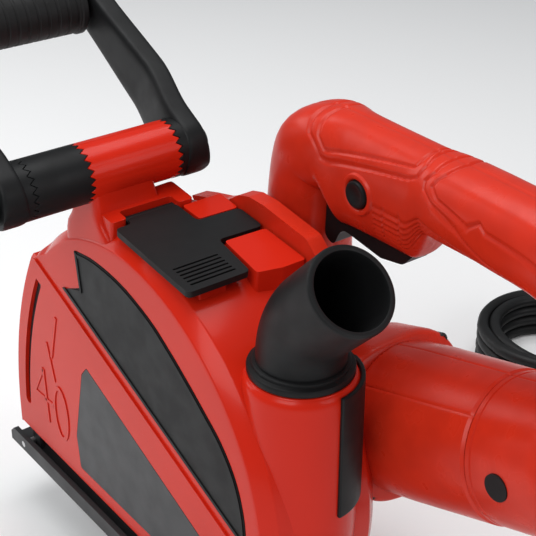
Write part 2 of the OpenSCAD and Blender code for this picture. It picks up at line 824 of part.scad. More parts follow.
module trigger_pin() {
    color([0.6, 0.6, 0.62]) place() bar_y(trigger_x, trigger_z, 1.6, motor_y + 9.3, motor_y - 9.3);
}

module lock_button() {
    color([0.1, 0.1, 0.1]) place() bar_y(lock_x, lock_z, lock_r, motor_y + 19, motor_y + 11);
}

// Dust elbow: a spigot and flange, a 45 degree bend and a straight mouth.
module dust_elbow() {
    color([0.14, 0.14, 0.15]) place() difference() {
        union() {
            translate([outlet_x, 0, outlet_up - 6]) cylinder(r = spigot_r, h = 7);
            translate([outlet_x, 0, outlet_up + 0.7]) cylinder(r = port_r + 4.2, h = 4);
            translate([outlet_x, 0, outlet_up + 4.6]) cylinder(r = port_r + 1.8, h = 2.3);
            translate([outlet_x - bend_r, 0, bend_z]) rotate([90, 0, 0])
                rotate_extrude(angle = 45) translate([bend_r, 0]) circle(r = port_r);
            translate([bend_x, 0, bend_z + bend_r * sin(45)]) rotate([0, -45, 0])
                cylinder(r = port_r, h = mouth_len);
        }
        translate([outlet_x, 0, outlet_up - 10]) cylinder(r = spigot_r - 2, h = bend_z - outlet_up + 10);
        translate([outlet_x - bend_r, 0, bend_z]) rotate([90, 0, 0])
            rotate_extrude(angle = 45) translate([bend_r, 0]) circle(r = spigot_r - 2);
        translate([bend_x, 0, bend_z + bend_r * sin(45)]) rotate([0, -45, 0])
            cylinder(r = port_r - port_wall, h = mouth_len + 5);
    }
}

module outlet_strip() {
    color([0.1, 0.1, 0.11]) place() difference() {
        translate([outlet_x, 0, 20]) cylinder(r = outlet_half + 3, h = outlet_up - 22);
        translate([outlet_x, 0, 19]) cylinder(r = outlet_half + 1, h = outlet_up);
        translate([outlet_x - 60, -1, 0]) cube([120, 60, 120]);
        translate([outlet_x - 5, -60, 0]) cube([60, 61, 120]);
        bar_y(0, 0, guard_r + 0.2, 0, -60);
    }
}

// Cord: rings of one radius carried along a route of points.
cord_route = [[-238, -70, 77.3], [-253, -70, 82.2], [-271, -70, 88], [-288, -72, 86], [-301, -77, 70],
    [-306, -86, 42], [-307, -97, 5], [-304, -112, -40], [-297, -130, -80], [-280, -152, -103],
    [-252, -176, -110.7], [-202, -205, -110.7], [-150, -232, -110.7], [-100, -255, -110.7],
    [-50, -272, -110.7], [-6, -282, -110.7], [36, -285.3, -110.7]];
plug_route = [[12, -398.5, -86.4], [-4, -400, -90], [-22, -401, -95], [-38, -400, -97]];

function mix(a, b, t) = a + (b - a) * t;

// Catmull-Rom point between the route's second and third of four points.
function spline(p, q, r, s, t) =
    0.5 * (2 * q + (r - p) * t + (2 * p - 5 * q + 4 * r - s) * t * t + (3 * q - p - 3 * r + s) * t * t * t);

module sweep(route, radius, steps, sides) {
    last = len(route) - 1;
    pts = [for (i = [0:last - 1]) for (k = [0:steps - 1])
        spline(route[max(i - 1, 0)], route[i], route[i + 1], route[min(i + 2, last)], k / steps), ];
    path = concat(pts, [route[last]]);
    n = len(path);
    rings = [for (i = [0:n - 1])
        let (
            d = path[min(i + 1, n - 1)] - path[max(i - 1, 0)],
            t = d / norm(d),
            side = cross(t, [0, 0, 1]),
            u = side / norm(side),
            v = cross(u, t)
        )
        [for (k = [0:sides - 1]) path[i] + radius * (cos(360 * k / sides) * u + sin(360 * k / sides) * v)]];
    points = [for (ring = rings) each ring];
    faces = concat(
        [[for (k = [0:sides - 1]) k]],
        [for (i = [0:n - 2]) for (k = [0:sides - 1])
            [i * sides + k, (i + 1) * sides + k, (i + 1) * sides + (k + 1) % sides, i * sides + (k + 1) % sides]],
        [[for (k = [sides - 1:-1:0]) (n - 1) * sides + k]]
    );
    polyhedron(points = points, faces = faces, convexity = 8);
}

module strain_relief() {
    color([0.1, 0.1, 0.1]) place() on_motor(motor_len) difference() {
        union() {
            translate([0, 0, -9]) cylinder(r = 6, h = 9);
            cylinder(r1 = 9, r2 = 6, h = 28);
        }
        translate([0, 0, -20]) cylinder(r = cord_r, h = 60);
    }
}

module cord_tube() {
    color([0.09, 0.09, 0.09]) place() {
        sweep(cord_route, cord_r, 3, 10);
        sweep(plug_route, cord_r, 3, 10);
    }
}

module cord_coil() {
    color([0.09, 0.09, 0.09]) place() translate([coil_x, coil_y, floor_z])
        rotate_extrude() translate([coil_r - cord_d, 0]) square([2 * cord_d, coil_h]);
}

module plug() {
    color([0.09, 0.09, 0.09]) place() translate([-38, -400, plug_z]) rotate([0, -90, 0]) {
        cylinder(r1 = 7, r2 = 11, h = 12);
        translate([0, 0, 12]) cylinder(r = 18, h = 24);
        for (z = [-9.5, 9.5]) translate([z, 0, 36]) cylinder(r = 2.4, h = 19);
    }
}

guard_casting();
side_cover();
crescent_insert();
badge_plate();
cover_screws();
latch_lever();
lever_pin();
handle_bracket();
bracket_screws();
bow_handle();
front_grip();
spacer_sleeve();
bow_bolt();
bow_knob();
sole_plate();
pivot_pin();
depth_blade();
roller_axles();
front_roller();
rear_roller();
disc_left();
disc_right();
disc_spacer();
inner_flange();
clamp_nut();
spindle_shaft();
bevel_gear();
spindle_bearings();
gear_cover();
gear_housing();
spindle_lock();
bearing_plate();
armature_shaft();
armature_core();
commutator();
cooling_fan();
pinion();
motor_bearings();
stator();
brush_holders();
brush_caps();
motor_housing();
rear_cap();
housing_screws();
grip_left();
grip_right();
grip_screws();
switch_body();
speed_module();
trigger();
trigger_pin();
lock_button();
dust_elbow();
outlet_strip();
strain_relief();
cord_tube();
cord_coil();
plug();
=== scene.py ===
"""The looks of a twin-disc wall chaser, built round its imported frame.

Sizes inside the classes are millimetres from the spindle's axis: X forward, Y to the
left, Z up. ``to_frame`` turns them into the frame's metres.
"""

import json
import logging
import math
from collections.abc import Callable
from dataclasses import dataclass
from enum import Enum

import bmesh
import bpy
import numpy as np
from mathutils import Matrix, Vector
from mathutils.geometry import delaunay_2d_cdt


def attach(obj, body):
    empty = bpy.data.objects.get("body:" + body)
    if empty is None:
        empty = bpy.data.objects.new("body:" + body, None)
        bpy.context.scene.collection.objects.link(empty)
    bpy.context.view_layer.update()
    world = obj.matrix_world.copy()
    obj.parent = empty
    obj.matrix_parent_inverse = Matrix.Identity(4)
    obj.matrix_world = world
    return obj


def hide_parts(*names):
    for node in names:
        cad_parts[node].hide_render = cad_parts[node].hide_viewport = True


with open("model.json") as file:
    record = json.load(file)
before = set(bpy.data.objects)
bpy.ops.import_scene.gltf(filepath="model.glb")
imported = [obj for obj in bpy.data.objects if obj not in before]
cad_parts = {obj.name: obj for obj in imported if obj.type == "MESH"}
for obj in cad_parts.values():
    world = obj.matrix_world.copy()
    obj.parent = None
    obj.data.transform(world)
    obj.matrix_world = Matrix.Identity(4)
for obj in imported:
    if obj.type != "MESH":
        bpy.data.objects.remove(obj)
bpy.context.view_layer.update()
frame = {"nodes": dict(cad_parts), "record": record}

LOG = logging.getLogger("wall_chaser")
SPINDLE = np.array([55.171, 7.5, 115.0])
GUARD_R = 120.0
GUARD_HALF = 34.4
MOTOR_Y = -70.0
TILT = math.radians(18)
MOTOR_AXIS = np.array([-math.cos(TILT), 0.0, math.sin(TILT)])
MOTOR_UP = np.array([math.sin(TILT), 0.0, math.cos(TILT)])
ACROSS = (0, 1, 0)
UPWARD = (0, 0, 1)


class Body(Enum):
    """The bodies that pieces ride on."""

    MACHINE = "machine"
    LATCH = "latch"
    BOW = "bow"
    ELBOW = "elbow"
    SPINDLE = "spindle"
    TRIGGER = "switch_trigger"
    LOCK = "switch_lock"


def to_frame(points: np.ndarray) -> np.ndarray:
    """Moves points from the spindle's millimetres to the frame's metres.

    Args:
        points: array whose last axis is X, Y, Z in millimetres.

    Returns:
        The same points in metres in the frame.
    """
    return (np.asarray(points, float) + SPINDLE) * 0.001


def smoothstep(low: float, high: float, value: np.ndarray) -> np.ndarray:
    """0 below low, 1 above high, and 3t^2 - 2t^3 between them."""
    t = np.clip((value - low) / (high - low), 0.0, 1.0)
    return t * t * (3.0 - 2.0 * t)


def curve_points(route: list, per_span: int) -> np.ndarray:
    """Catmull-Rom curve through a route's points.

    Args:
        route: the points, any number of axes.
        per_span: samples for each pair of neighbours.

    Returns:
        The sampled points, from the first to the last.
    """
    p = np.asarray(route, float)
    q = np.vstack([2 * p[0] - p[1], p, 2 * p[-1] - p[-2]])
    t = (np.arange(per_span) / per_span)[None, :, None]
    a, b, c, d = (q[k:len(q) - 3 + k][:, None, :] for k in range(4))
    span = 0.5 * (2 * b + (c - a) * t + (2 * a - 5 * b + 4 * c - d) * t**2
                  + (3 * b - a - 3 * c + d) * t**3)
    return np.vstack([span.reshape(-1, p.shape[1]), p[-1:]])


def arc(cx: float, cy: float, r: float, start: float, end: float, steps: int) -> np.ndarray:
    """Points on a circle from one angle to another, in degrees."""
    a = np.radians(np.linspace(start, end, steps))
    return np.column_stack([cx + r * np.cos(a), cy + r * np.sin(a)])


def ring(centre: np.ndarray, side: np.ndarray, up: np.ndarray, half_side: np.ndarray,
         half_up: np.ndarray, power: float, count: int) -> np.ndarray:
    """Superellipse rings |s|^p + |u|^p = 1, one for each centre.

    Args:
        centre: (n, 3) middles.
        side: (n, 3) or (3,) unit vectors of the first axis.
        up: (n, 3) or (3,) unit vectors of the second axis.
        half_side: one half size along side, or (n,) of them.
        half_up: one half size along up, or (n,) of them.
        power: 2 is an ellipse, higher is squarer.
        count: points on each ring.

    Returns:
        (n, count, 3) points.
    """
    centre, side, up = (np.atleast_2d(np.asarray(v, float))[:, None] for v in (centre, side, up))
    half_side, half_up = (np.reshape(np.asarray(h, float), (-1, 1)) for h in (half_side, half_up))
    a = np.linspace(0, 2 * np.pi, count, endpoint=False)
    c = np.sign(np.cos(a)) * np.abs(np.cos(a)) ** (2 / power)
    s = np.sign(np.sin(a)) * np.abs(np.sin(a)) ** (2 / power)
    return centre + side * (half_side * c)[..., None] + up * (half_up * s)[..., None]


def new_object(name: str, data: bpy.types.ID) -> bpy.types.Object:
    """Makes an object of some data and links it to the scene.

    Args:
        name: the object's name.
        data: its mesh, curve, camera or lamp.

    Returns:
        The new object.
    """
    obj = bpy.data.objects.new(name, data)
    bpy.context.scene.collection.objects.link(obj)
    return obj


def add_mesh(name: str, points: np.ndarray, faces: list, sharp: float = 35.0) -> bpy.types.Object:
    """Makes an object of points in spindle millimetres, outward and smooth up to an angle.

    Args:
        name: the piece's name.
        points: (n, 3) points.
        faces: lists of point numbers.
        sharp: the angle in degrees past which an edge stays crisp.

    Returns:
        The new object, at the origin.
    """
    mesh = bpy.data.meshes.new(name)
    mesh.from_pydata(to_frame(points).tolist(), [], faces)
    work = bmesh.new()
    work.from_mesh(mesh)
    bmesh.ops.remove_doubles(work, verts=work.verts, dist=2e-6)
    bmesh.ops.recalc_face_normals(work, faces=work.faces)
    work.to_mesh(mesh)
    work.free()
    mesh.polygons.foreach_set("use_smooth", np.ones(len(mesh.polygons), bool))
    mesh.set_sharp_from_angle(angle=math.radians(sharp))
    return new_object(name, mesh)


def grid_faces(rows: int, cols: int, wrap_rows: bool, wrap_cols: bool) -> list:
    """Quads of a grid of points numbered row by row.

    Args:
        rows: rows of points.
        cols: points in a row.
        wrap_rows: True when the last row joins the first.
        wrap_cols: True when each row closes on itself.

    Returns:
        Lists of four point numbers.
    """
    i = np.arange(rows if wrap_rows else rows - 1)[:, None]
    j = np.arange(cols if wrap_cols else cols - 1)[None, :]
    i2, j2 = (i + 1) % rows, (j + 1) % cols
    quads = np.stack(np.broadcast_arrays(i * cols + j, i * cols + j2, i2 * cols + j2, i2 * cols + j), -1)
    return quads.reshape(-1, 4).tolist()


def loft(name: str, rings: np.ndarray, closed: bool = False, sharp: float = 35.0) -> bpy.types.Object:
    """A skin over rings of points, capped at both ends unless it closes on itself.

    Args:
        name: the piece's name.
        rings: (n, m, 3) points.
        closed: True when the last ring joins the first.
        sharp: the crisp angle in degrees.

    Returns:
        The new object.
    """
    n, m, _ = rings.shape
    faces = grid_faces(n, m, closed, True)
    if not closed:
        faces += [list(range(m)), list(range((n - 1) * m, n * m))]
    return add_mesh(name, rings.reshape(-1, 3), faces, sharp)


def lathe(name: str, profile: list, origin: tuple, axis: tuple, count: int = 96,
          sharp: float = 35.0, wave: tuple = (0, 0.0), seams: tuple = ()) -> bpy.types.Object:
    """A profile of (distance along the axis, radius) turned about an axis.

    The radius is cut by wave[1] * (1 - |cos(wave[0] * angle / 2)|), which makes flutes.
    A profile whose ends both have a radius is a closed tube wall.

    Args:
        name: the piece's name.
        profile: (distance, radius) pairs in millimetres.
        origin: a point on the axis.
        axis: the axis direction.
        count: points round the axis.
        sharp: the crisp angle in degrees.
        wave: (flutes, depth).
        seams: angles in degrees of fine grooves that run along the piece.

    Returns:
        The new object.
    """
    p = np.asarray(profile, float)
    w = np.asarray(axis, float) / np.linalg.norm(axis)
    helper = np.array([0.0, 0.0, 1.0]) if abs(w[2]) < 0.9 else np.array([1.0, 0.0, 0.0])
    u = np.cross(helper, w)
    u /= np.linalg.norm(u)
    v = np.cross(w, u)
    a = np.linspace(0, 2 * np.pi, count, endpoint=False)
    flute = wave[1] * (1 - np.abs(np.cos(wave[0] * a / 2))) if wave[0] else np.zeros(count)
    seam_depth, seam_width = 0.4, 0.55
    for seam in seams:
        away = (a - math.radians(seam)) * p[:, 1].max()
        flute = flute + seam_depth * np.exp(-(away / seam_width) ** 2)
    r = np.where(p[:, 1:2] > 0, np.maximum(p[:, 1:2] - flute[None, :], 0.0), 0.0)
    pts = (np.asarray(origin, float) + p[:, 0, None, None] * w
           + r[..., None] * (np.cos(a)[None, :, None] * u + np.sin(a)[None, :, None] * v))
    tube = p[0, 1] > 0 and p[-1, 1] > 0
    faces = grid_faces(len(p), count, tube, True)
    return add_mesh(name, pts.reshape(-1, 3), faces, sharp)


def inside(points: np.ndarray, loop: np.ndarray) -> np.ndarray:
    """Whether each (n, 2) point lies in a closed outline, by counting crossings.

    Args:
        points: (n, 2) points.
        loop: (m, 2) outline.

    Returns:
        (n,) True or False.
    """
    p, q = loop, np.roll(loop, -1, 0)
    x, y = points[:, :1], points[:, 1:]
    rise = np.where(q[:, 1] == p[:, 1], 1e-9, q[:, 1] - p[:, 1])
    cross = (p[:, 1] > y) != (q[:, 1] > y)
    return ((x < (q[:, 0] - p[:, 0]) * (y - p[:, 1]) / rise + p[:, 0]) & cross).sum(1) % 2 == 1


def slab(name: str, outer: np.ndarray, holes: list, low: float, high: float,
         axes: str = "xz", warp: Callable | None = None) -> bpy.types.Object:
    """A flat outline with holes, given a thickness along the third axis.

    The flat face is a constrained triangulation of the outlines; triangles whose
    middle lies in a hole are left out, and edges with one triangle get a side wall.

    Args:
        name: the piece's name.
        outer: (n, 2) outline.
        holes: further outlines cut out of it.
        low: the lower value on the third axis.
        high: the upper value on the third axis.
        axes: "xz" (drawn from the side, thick along Y) or "xy" (from above, along Z).
        warp: an optional function that moves the finished (n, 3) points.

    Returns:
        The new object.
    """
    loops = [np.asarray(outer, float)] + [np.asarray(h, float) for h in holes]
    starts = np.cumsum([0] + [len(loop) for loop in loops])
    rims = np.vstack([np.column_stack([np.arange(len(loop)), (np.arange(len(loop)) + 1) % len(loop)]) + k
                      for loop, k in zip(loops, starts)])
    flat = [Vector(p) for p in np.vstack(loops).tolist()]
    found = delaunay_2d_cdt(flat, rims.tolist(), [], 1, 1e-4)
    v, tris = np.array([tuple(p) for p in found[0]]), np.array(found[2])
    middle = v[tris].mean(axis=1)
    keep = inside(middle, loops[0])
    for loop in loops[1:]:
        keep &= ~inside(middle, loop)
    tris, n = tris[keep], len(v)
    edges = np.vstack([tris[:, [0, 1]], tris[:, [1, 2]], tris[:, [2, 0]]])
    code = np.sort(edges, axis=1) @ np.array([n, 1])
    _, index, times = np.unique(code, return_index=True, return_counts=True)
    rim = edges[index[times == 1]]
    third = np.repeat([low, high], n)
    two = np.vstack([v, v])
    order = [two[:, 0], third, two[:, 1]] if axes == "xz" else [two[:, 0], two[:, 1], third]
    pts = np.column_stack(order)
    walls = np.column_stack([rim[:, 0], rim[:, 1], rim[:, 1] + n, rim[:, 0] + n])
    faces = tris.tolist() + (tris[:, ::-1] + n).tolist() + walls.tolist()
    return add_mesh(name, warp(pts) if warp else pts, faces)


def soften(obj: bpy.types.Object, width: float, segments: int = 3) -> None:
    """Rounds the crisp edges of a piece by width millimetres.

    Args:
        obj: the piece.
        width: the width of the bevel.
        segments: faces across it.
    """
    bevel = obj.modifiers.new("soft_edges", "BEVEL")
    bevel.width = width * 0.001
    bevel.segments = segments
    bevel.limit_method = "ANGLE"
    bevel.angle_limit = math.radians(30)
    bevel.harden_normals = True
    bevel.use_clamp_overlap = True


def set_inputs(node: bpy.types.Node, values: dict) -> None:
    """Sets a node's inputs by their names."""
    for name, value in values.items():
        node.inputs[name].default_value = value


def wire(tree: bpy.types.NodeTree, *rows: tuple) -> None:
    """Joins nodes: each row is a node, its output, the next node and its input."""
    for node, output, target, inlet in rows:
        tree.links.new(node.outputs[output], target.inputs[inlet])


def grain_group() -> bpy.types.NodeTree:
    """The group that gives every finish its fine grain and its slow unevenness.

    Height is noise at Scale; Cloud is noise at a thirtieth of it, stretched to 0..1.

    Returns:
        The node group, made once.
    """
    made = bpy.data.node_groups.get("surface_grain")
    if made:
        return made
    group = bpy.data.node_groups.new("surface_grain", "ShaderNodeTree")
    group.interface.new_socket("Scale", in_out="INPUT", socket_type="NodeSocketFloat")
    group.interface.new_socket("Height", in_out="OUTPUT", socket_type="NodeSocketFloat")
    group.interface.new_socket("Cloud", in_out="OUTPUT", socket_type="NodeSocketFloat")
    nodes = group.nodes
    inlet, outlet = nodes.new("NodeGroupInput"), nodes.new("NodeGroupOutput")
    place = nodes.new("ShaderNodeTexCoord")
    fine, slow = nodes.new("ShaderNodeTexNoise"), nodes.new("ShaderNodeTexNoise")
    set_inputs(fine, {"Detail": 3.0})
    set_inputs(slow, {"Detail": 2.0})
    share = nodes.new("ShaderNodeMath")
    share.operation = "MULTIPLY"
    share.inputs[1].default_value = 0.033
    spread = nodes.new("ShaderNodeMapRange")
    set_inputs(spread, {"From Min": 0.35, "From Max": 0.65})
    wire(group, (inlet, "Scale", fine, "Scale"), (inlet, "Scale", share, 0), (share, 0, slow, "Scale"),
         (place, "Object", fine, "Vector"), (place, "Object", slow, "Vector"), (slow, "Fac", spread, "Value"),
         (fine, "Fac", outlet, "Height"), (spread, "Result", outlet, "Cloud"))
    return group


@dataclass(frozen=True)
class Finish:
    """One finish: a colour, its gloss, and the grain that breaks it up.

    Fields hold linear colours, roughness from smooth to rough patches, the grain's
    scale per metre, and the grain's height in millimetres.
    """

    slot: str
    colour: tuple
    shade: tuple
    rough: tuple = (0.4, 0.5)
    metal: float = 0.0
    coat: float = 0.0
    coat_rough: float = 0.08
    shine: float = 0.26
    scale: float = 900.0
    height: float = 0.02
    strength: float = 0.3

    def material(self) -> bpy.types.Material:
        """Makes the finish's material once, or returns the one already made.

        Returns:
            The material.
        """
        made = bpy.data.materials.get("finish_" + self.slot)
        if made:
            return made
        mat = bpy.data.materials.new("finish_" + self.slot)
        mat.use_nodes = True
        nodes = mat.node_tree.nodes
        shader = nodes["Principled BSDF"]
        set_inputs(shader, {"Metallic": self.metal, "Coat Weight": self.coat,
                            "Specular IOR Level": self.shine, "Coat Roughness": self.coat_rough})
        grain = nodes.new("ShaderNodeGroup")
        grain.node_tree = grain_group()
        set_inputs(grain, {"Scale": self.scale})
        tint = nodes.new("ShaderNodeMix")
        tint.data_type = "RGBA"
        set_inputs(tint, {"A": (*self.colour, 1.0), "B": (*self.shade, 1.0)})
        gloss = nodes.new("ShaderNodeMapRange")
        set_inputs(gloss, {"To Min": self.rough[0], "To Max": self.rough[1]})
        bump = nodes.new("ShaderNodeBump")
        set_inputs(bump, {"Distance": self.height * 0.001, "Strength": self.strength})
        wire(mat.node_tree, (grain, "Cloud", tint, "Factor"), (tint, "Result", shader, "Base Color"),
             (grain, "Cloud", gloss, "Value"), (gloss, "Result", shader, "Roughness"),
             (grain, "Height", bump, "Height"), (bump, "Normal", shader, "Normal"))
        return mat


FINISHES = {f.slot: f for f in (
    Finish("guard_paint", (0.62, 0.02, 0.007), (0.56, 0.017, 0.005), (0.2, 0.26), coat=0.05,
           coat_rough=0.05, shine=0.16, scale=330.0, height=0.1, strength=0.1),
    Finish("red_plastic", (0.62, 0.028, 0.01), (0.57, 0.024, 0.008), (0.27, 0.34), scale=2600.0,
           height=0.02, strength=0.25),
    Finish("black_plastic", (0.0095, 0.01, 0.0105), (0.008, 0.008, 0.0085), (0.42, 0.5), shine=0.17,
           scale=2400.0, height=0.03, strength=0.35),
    Finish("grip_rubber", (0.009, 0.009, 0.0095), (0.007, 0.007, 0.007), (0.55, 0.66), scale=3000.0,
           height=0.03, strength=0.4),
    Finish("badge_grey", (0.05, 0.051, 0.054), (0.045, 0.046, 0.048), (0.36, 0.44), scale=2000.0,
           height=0.015, strength=0.2),
    Finish("zinc_steel", (0.56, 0.57, 0.58), (0.48, 0.48, 0.49), (0.26, 0.38), metal=1.0, scale=1200.0),
    Finish("dark_steel", (0.03, 0.031, 0.033), (0.02, 0.02, 0.022), (0.38, 0.5), scale=900.0,
           height=0.05, strength=0.3),
    Finish("disc_steel", (0.42, 0.42, 0.43), (0.34, 0.34, 0.35), (0.3, 0.42), metal=1.0, scale=700.0),
    Finish("cast_alloy", (0.6, 0.6, 0.61), (0.5, 0.5, 0.51), (0.42, 0.58), metal=1.0, scale=500.0,
           height=0.1, strength=0.3),
    Finish("bearing_steel", (0.62, 0.62, 0.64), (0.55, 0.55, 0.57), (0.16, 0.25), metal=1.0),
    Finish("winding", (0.4, 0.15, 0.05), (0.28, 0.1, 0.03), (0.25, 0.4), scale=1500.0),
    Finish("copper", (0.72, 0.36, 0.18), (0.6, 0.28, 0.14), (0.25, 0.36), metal=1.0),
    Finish("brass", (0.76, 0.54, 0.2), (0.66, 0.45, 0.16), (0.28, 0.4), metal=1.0),
    Finish("cord_rubber", (0.01, 0.01, 0.0105), (0.008, 0.008, 0.008), (0.42, 0.55), scale=2200.0,
           height=0.03, strength=0.3),
)}


def settle(obj: bpy.types.Object, body: Body, slot: str, replaces: tuple = (), soft: tuple = ()) -> None:
    """Gives a piece its finish, its body and the CAD nodes it stands for.

    Args:
        obj: the piece.
        body: the body it rides on.
        slot: its material slot.
        replaces: the CAD nodes that it replaces.
        soft: what ``soften`` takes, if its edges are rounded.
    """
    if soft:
        soften(obj, *soft)
    if not obj.data.materials:
        obj.data.materials.append(FINISHES[slot].material())
    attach(obj, body.value)
    if replaces:
        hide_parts(*replaces)
    LOG.info("%s rides on %s", obj.name, body.value)


def painted(obj: bpy.types.Object, soft: tuple = ()) -> None:
    """Settles a piece of the machine in the guard's red paint."""
    settle(obj, Body.MACHINE, "guard_paint", (), soft)


@dataclass
class Studio:
    """The camera, the pale floor and the soft lamps."""

    lens: float = 87.31
    place: tuple = (-0.4306, 0.3178, 0.5306)
    pitch: float = 61.0
    heading: float = 233.0

    def camera(self) -> None:
        """Sets the camera above the machine's left rear corner."""
        data = bpy.data.cameras.new("camera")
        data.lens = self.lens
        data.sensor_width = 36.0
        data.clip_start = 0.01
        cam = new_object("camera", data)
        cam.location = self.place
        cam.rotation_euler = (math.radians(self.pitch), 0.0, math.radians(self.heading))
        bpy.context.scene.camera = cam

    def lamp(self, name: str, place: tuple, aim: tuple, size: tuple, power: float) -> None:
        """An area lamp of a size in metres at a place, turned to an aim.

        Args:
            name: the lamp's name.
            place: where it hangs, in metres.
            aim: the point it faces.
            size: its width and height.
            power: its power in watts.
        """
        data = bpy.data.lights.new(name, "AREA")
        data.shape = "RECTANGLE"
        data.size, data.size_y = size
        data.energy = power
        lamp = new_object(name, data)
        lamp.location = place
        lamp.rotation_euler = (Vector(aim) - Vector(place)).to_track_quat("-Z", "Y").to_euler()

    def world(self) -> None:
        """A white background for the camera, and a dimmer, bluish one as light."""
        world = bpy.data.worlds.new("studio")
        bpy.context.scene.world = world
        world.use_nodes = True
        nodes = world.node_tree.nodes
        nodes.clear()
        out = nodes.new("ShaderNodeOutputWorld")
        light, white = nodes.new("ShaderNodeBackground"), nodes.new("ShaderNodeBackground")
        set_inputs(light, {"Color": (0.92, 0.96, 1.0, 1.0), "Strength": 0.24})
        set_inputs(white, {"Color": (1.0, 1.0, 1.0, 1.0)})
        path, mix = nodes.new("ShaderNodeLightPath"), nodes.new("ShaderNodeMixShader")
        wire(world.node_tree, (path, "Is Camera Ray", mix, "Fac"), (light, 0, mix, 1), (white, 0, mix, 2),
             (mix, 0, out, "Surface"))

    def floor(self) -> None:
        """A wide pale floor at the height that the discs stand on."""
        size, level = 6.0, -0.0002
        corners = [(x * size, y * size, level) for x, y in ((-1, -1), (1, -1), (1, 1), (-1, 1))]
        mesh = bpy.data.meshes.new("floor")
        mesh.from_pydata(corners, [], [[0, 1, 2, 3]])
        obj = new_object("floor", mesh)
        mat = bpy.data.materials.new("studio_floor")
        mat.use_nodes = True
        set_inputs(mat.node_tree.nodes["Principled BSDF"], {
            "Base Color": (0.93, 0.93, 0.93, 1.0), "Roughness": 0.9, "Specular IOR Level": 0.1})
        mesh.materials.append(mat)

    def build(self) -> None:
        """Makes the whole studio."""
        scene = bpy.context.scene
        scene.view_settings.view_transform = "Standard"
        self.camera()
        self.world()
        self.floor()
        self.lamp("key", (-0.5, 1.15, 1.25), (0.0, 0.0, 0.15), (0.9, 0.9), 11.0)
        self.lamp("top", (0.25, -0.1, 1.5), (0.0, 0.0, 0.1), (1.2, 1.0), 13.0)
        self.lamp("rear", (-1.4, -0.5, 0.9), (-0.05, -0.05, 0.15), (0.9, 0.9), 5.0)
        self.lamp("front", (1.3, 0.6, 0.8), (0.0, 0.0, 0.15), (1.0, 1.0), 7.0)


@dataclass
class Cord:
    """The mains cord, coiled on the floor behind the motor."""

    diameter: float = 8.5
    floor: float = -115.0
    coil_x: float = 36.0
    coil_y: float = -345.0
    inner: float = 42.75
    outer: float = 51.25
    lag: float = 0.35

    def level(self) -> float:
        """The height of the cord's centre line where it lies on the floor."""
        return self.floor + self.diameter / 2 + 0.05

    def around(self, radius: np.ndarray, turns: np.ndarray, z: np.ndarray) -> np.ndarray:
        """Points round the coil's middle, clockwise from just past its left side.

        Args:
            radius: distance from the middle.
            turns: turns from the start.
            z: the height.

        Returns:
            (n, 3) points.
        """
        a = np.pi / 2 - 2 * np.pi * turns - self.lag
        return np.column_stack([self.coil_x + radius * np.cos(a), self.coil_y + radius * np.sin(a),
                                np.broadcast_to(z, len(a))])

    def lead(self) -> np.ndarray:
        """The stretch from the strain relief to the floor and on to the coil.

        Returns:
            (n, 3) points.
        """
        low = self.level()
        return np.array([[-246, -70, 79.9], [-253, -70, 82.2], [-271, -70, 88], [-288, -72, 86],
                         [-301, -77, 70], [-306, -86, 42], [-307, -97, 5], [-304, -112, -40],
                         [-297, -130, -80], [-280, -152, -103], [-252, -176, low],
                         [-202, -205, low], [-150, -232, low], [-100, -255, low], [-50, -272, low],
                         [-6, -282, low]])

    def coil(self) -> np.ndarray:
        """Eight clockwise turns: out, in on the floor, in, out above, and again on top.

        The radius and the height change over the last fifth of a turn, with a smoothstep.

        Returns:
            (n, 3) points.
        """
        rows = [(self.outer, 0), (self.inner, 0), (self.inner, 1), (self.outer, 1),
                (self.outer, 2), (self.inner, 2), (self.inner, 3), (self.outer, 3)]
        steps = 30
        turn = np.arange(steps * len(rows)) / steps
        k = turn.astype(int)
        nxt = np.minimum(k + 1, len(rows) - 1)
        table = np.array(rows, float)
        t = smoothstep(0.7, 1.0, turn - k)
        r = table[k, 0] * (1 - t) + table[nxt, 0] * t
        level = table[k, 1] * (1 - t) + table[nxt, 1] * t
        return self.around(r, turn, self.level() + level * (self.diameter + 0.02))

    def build(self) -> None:
        """Makes the cord as one open curve, from the strain relief to the plug."""
        turns = self.coil()
        tail_turn = self.around(self.outer, np.arange(1, 10) / 24.0, turns[-1, 2])
        route = np.vstack([self.lead(), [[22, -285.8, -110.7]], turns[1:], tail_turn,
                           [[12, -398.5, -86.4], [-4, -400, -90], [-22, -401, -95], [-36, -400, -97]]])
        pts = to_frame(curve_points(route, 3))
        keep = np.concatenate([[True], np.linalg.norm(np.diff(pts, axis=0), axis=1) > 1e-5])
        pts = pts[keep]
        data = bpy.data.curves.new("mains_cord", "CURVE")
        data.dimensions = "3D"
        data.bevel_depth = self.diameter * 0.0005
        data.bevel_resolution = 4
        data.use_fill_caps = True
        line = data.splines.new("POLY")
        line.points.add(len(pts) - 1)
        line.points.foreach_set("co", np.column_stack([pts, np.ones(len(pts))]).ravel())
        line.use_smooth = True
        cord = new_object("mains_cord", data)
        settle(cord, Body.MACHINE, "cord_rubber", ("cord_tube", "cord_coil"))


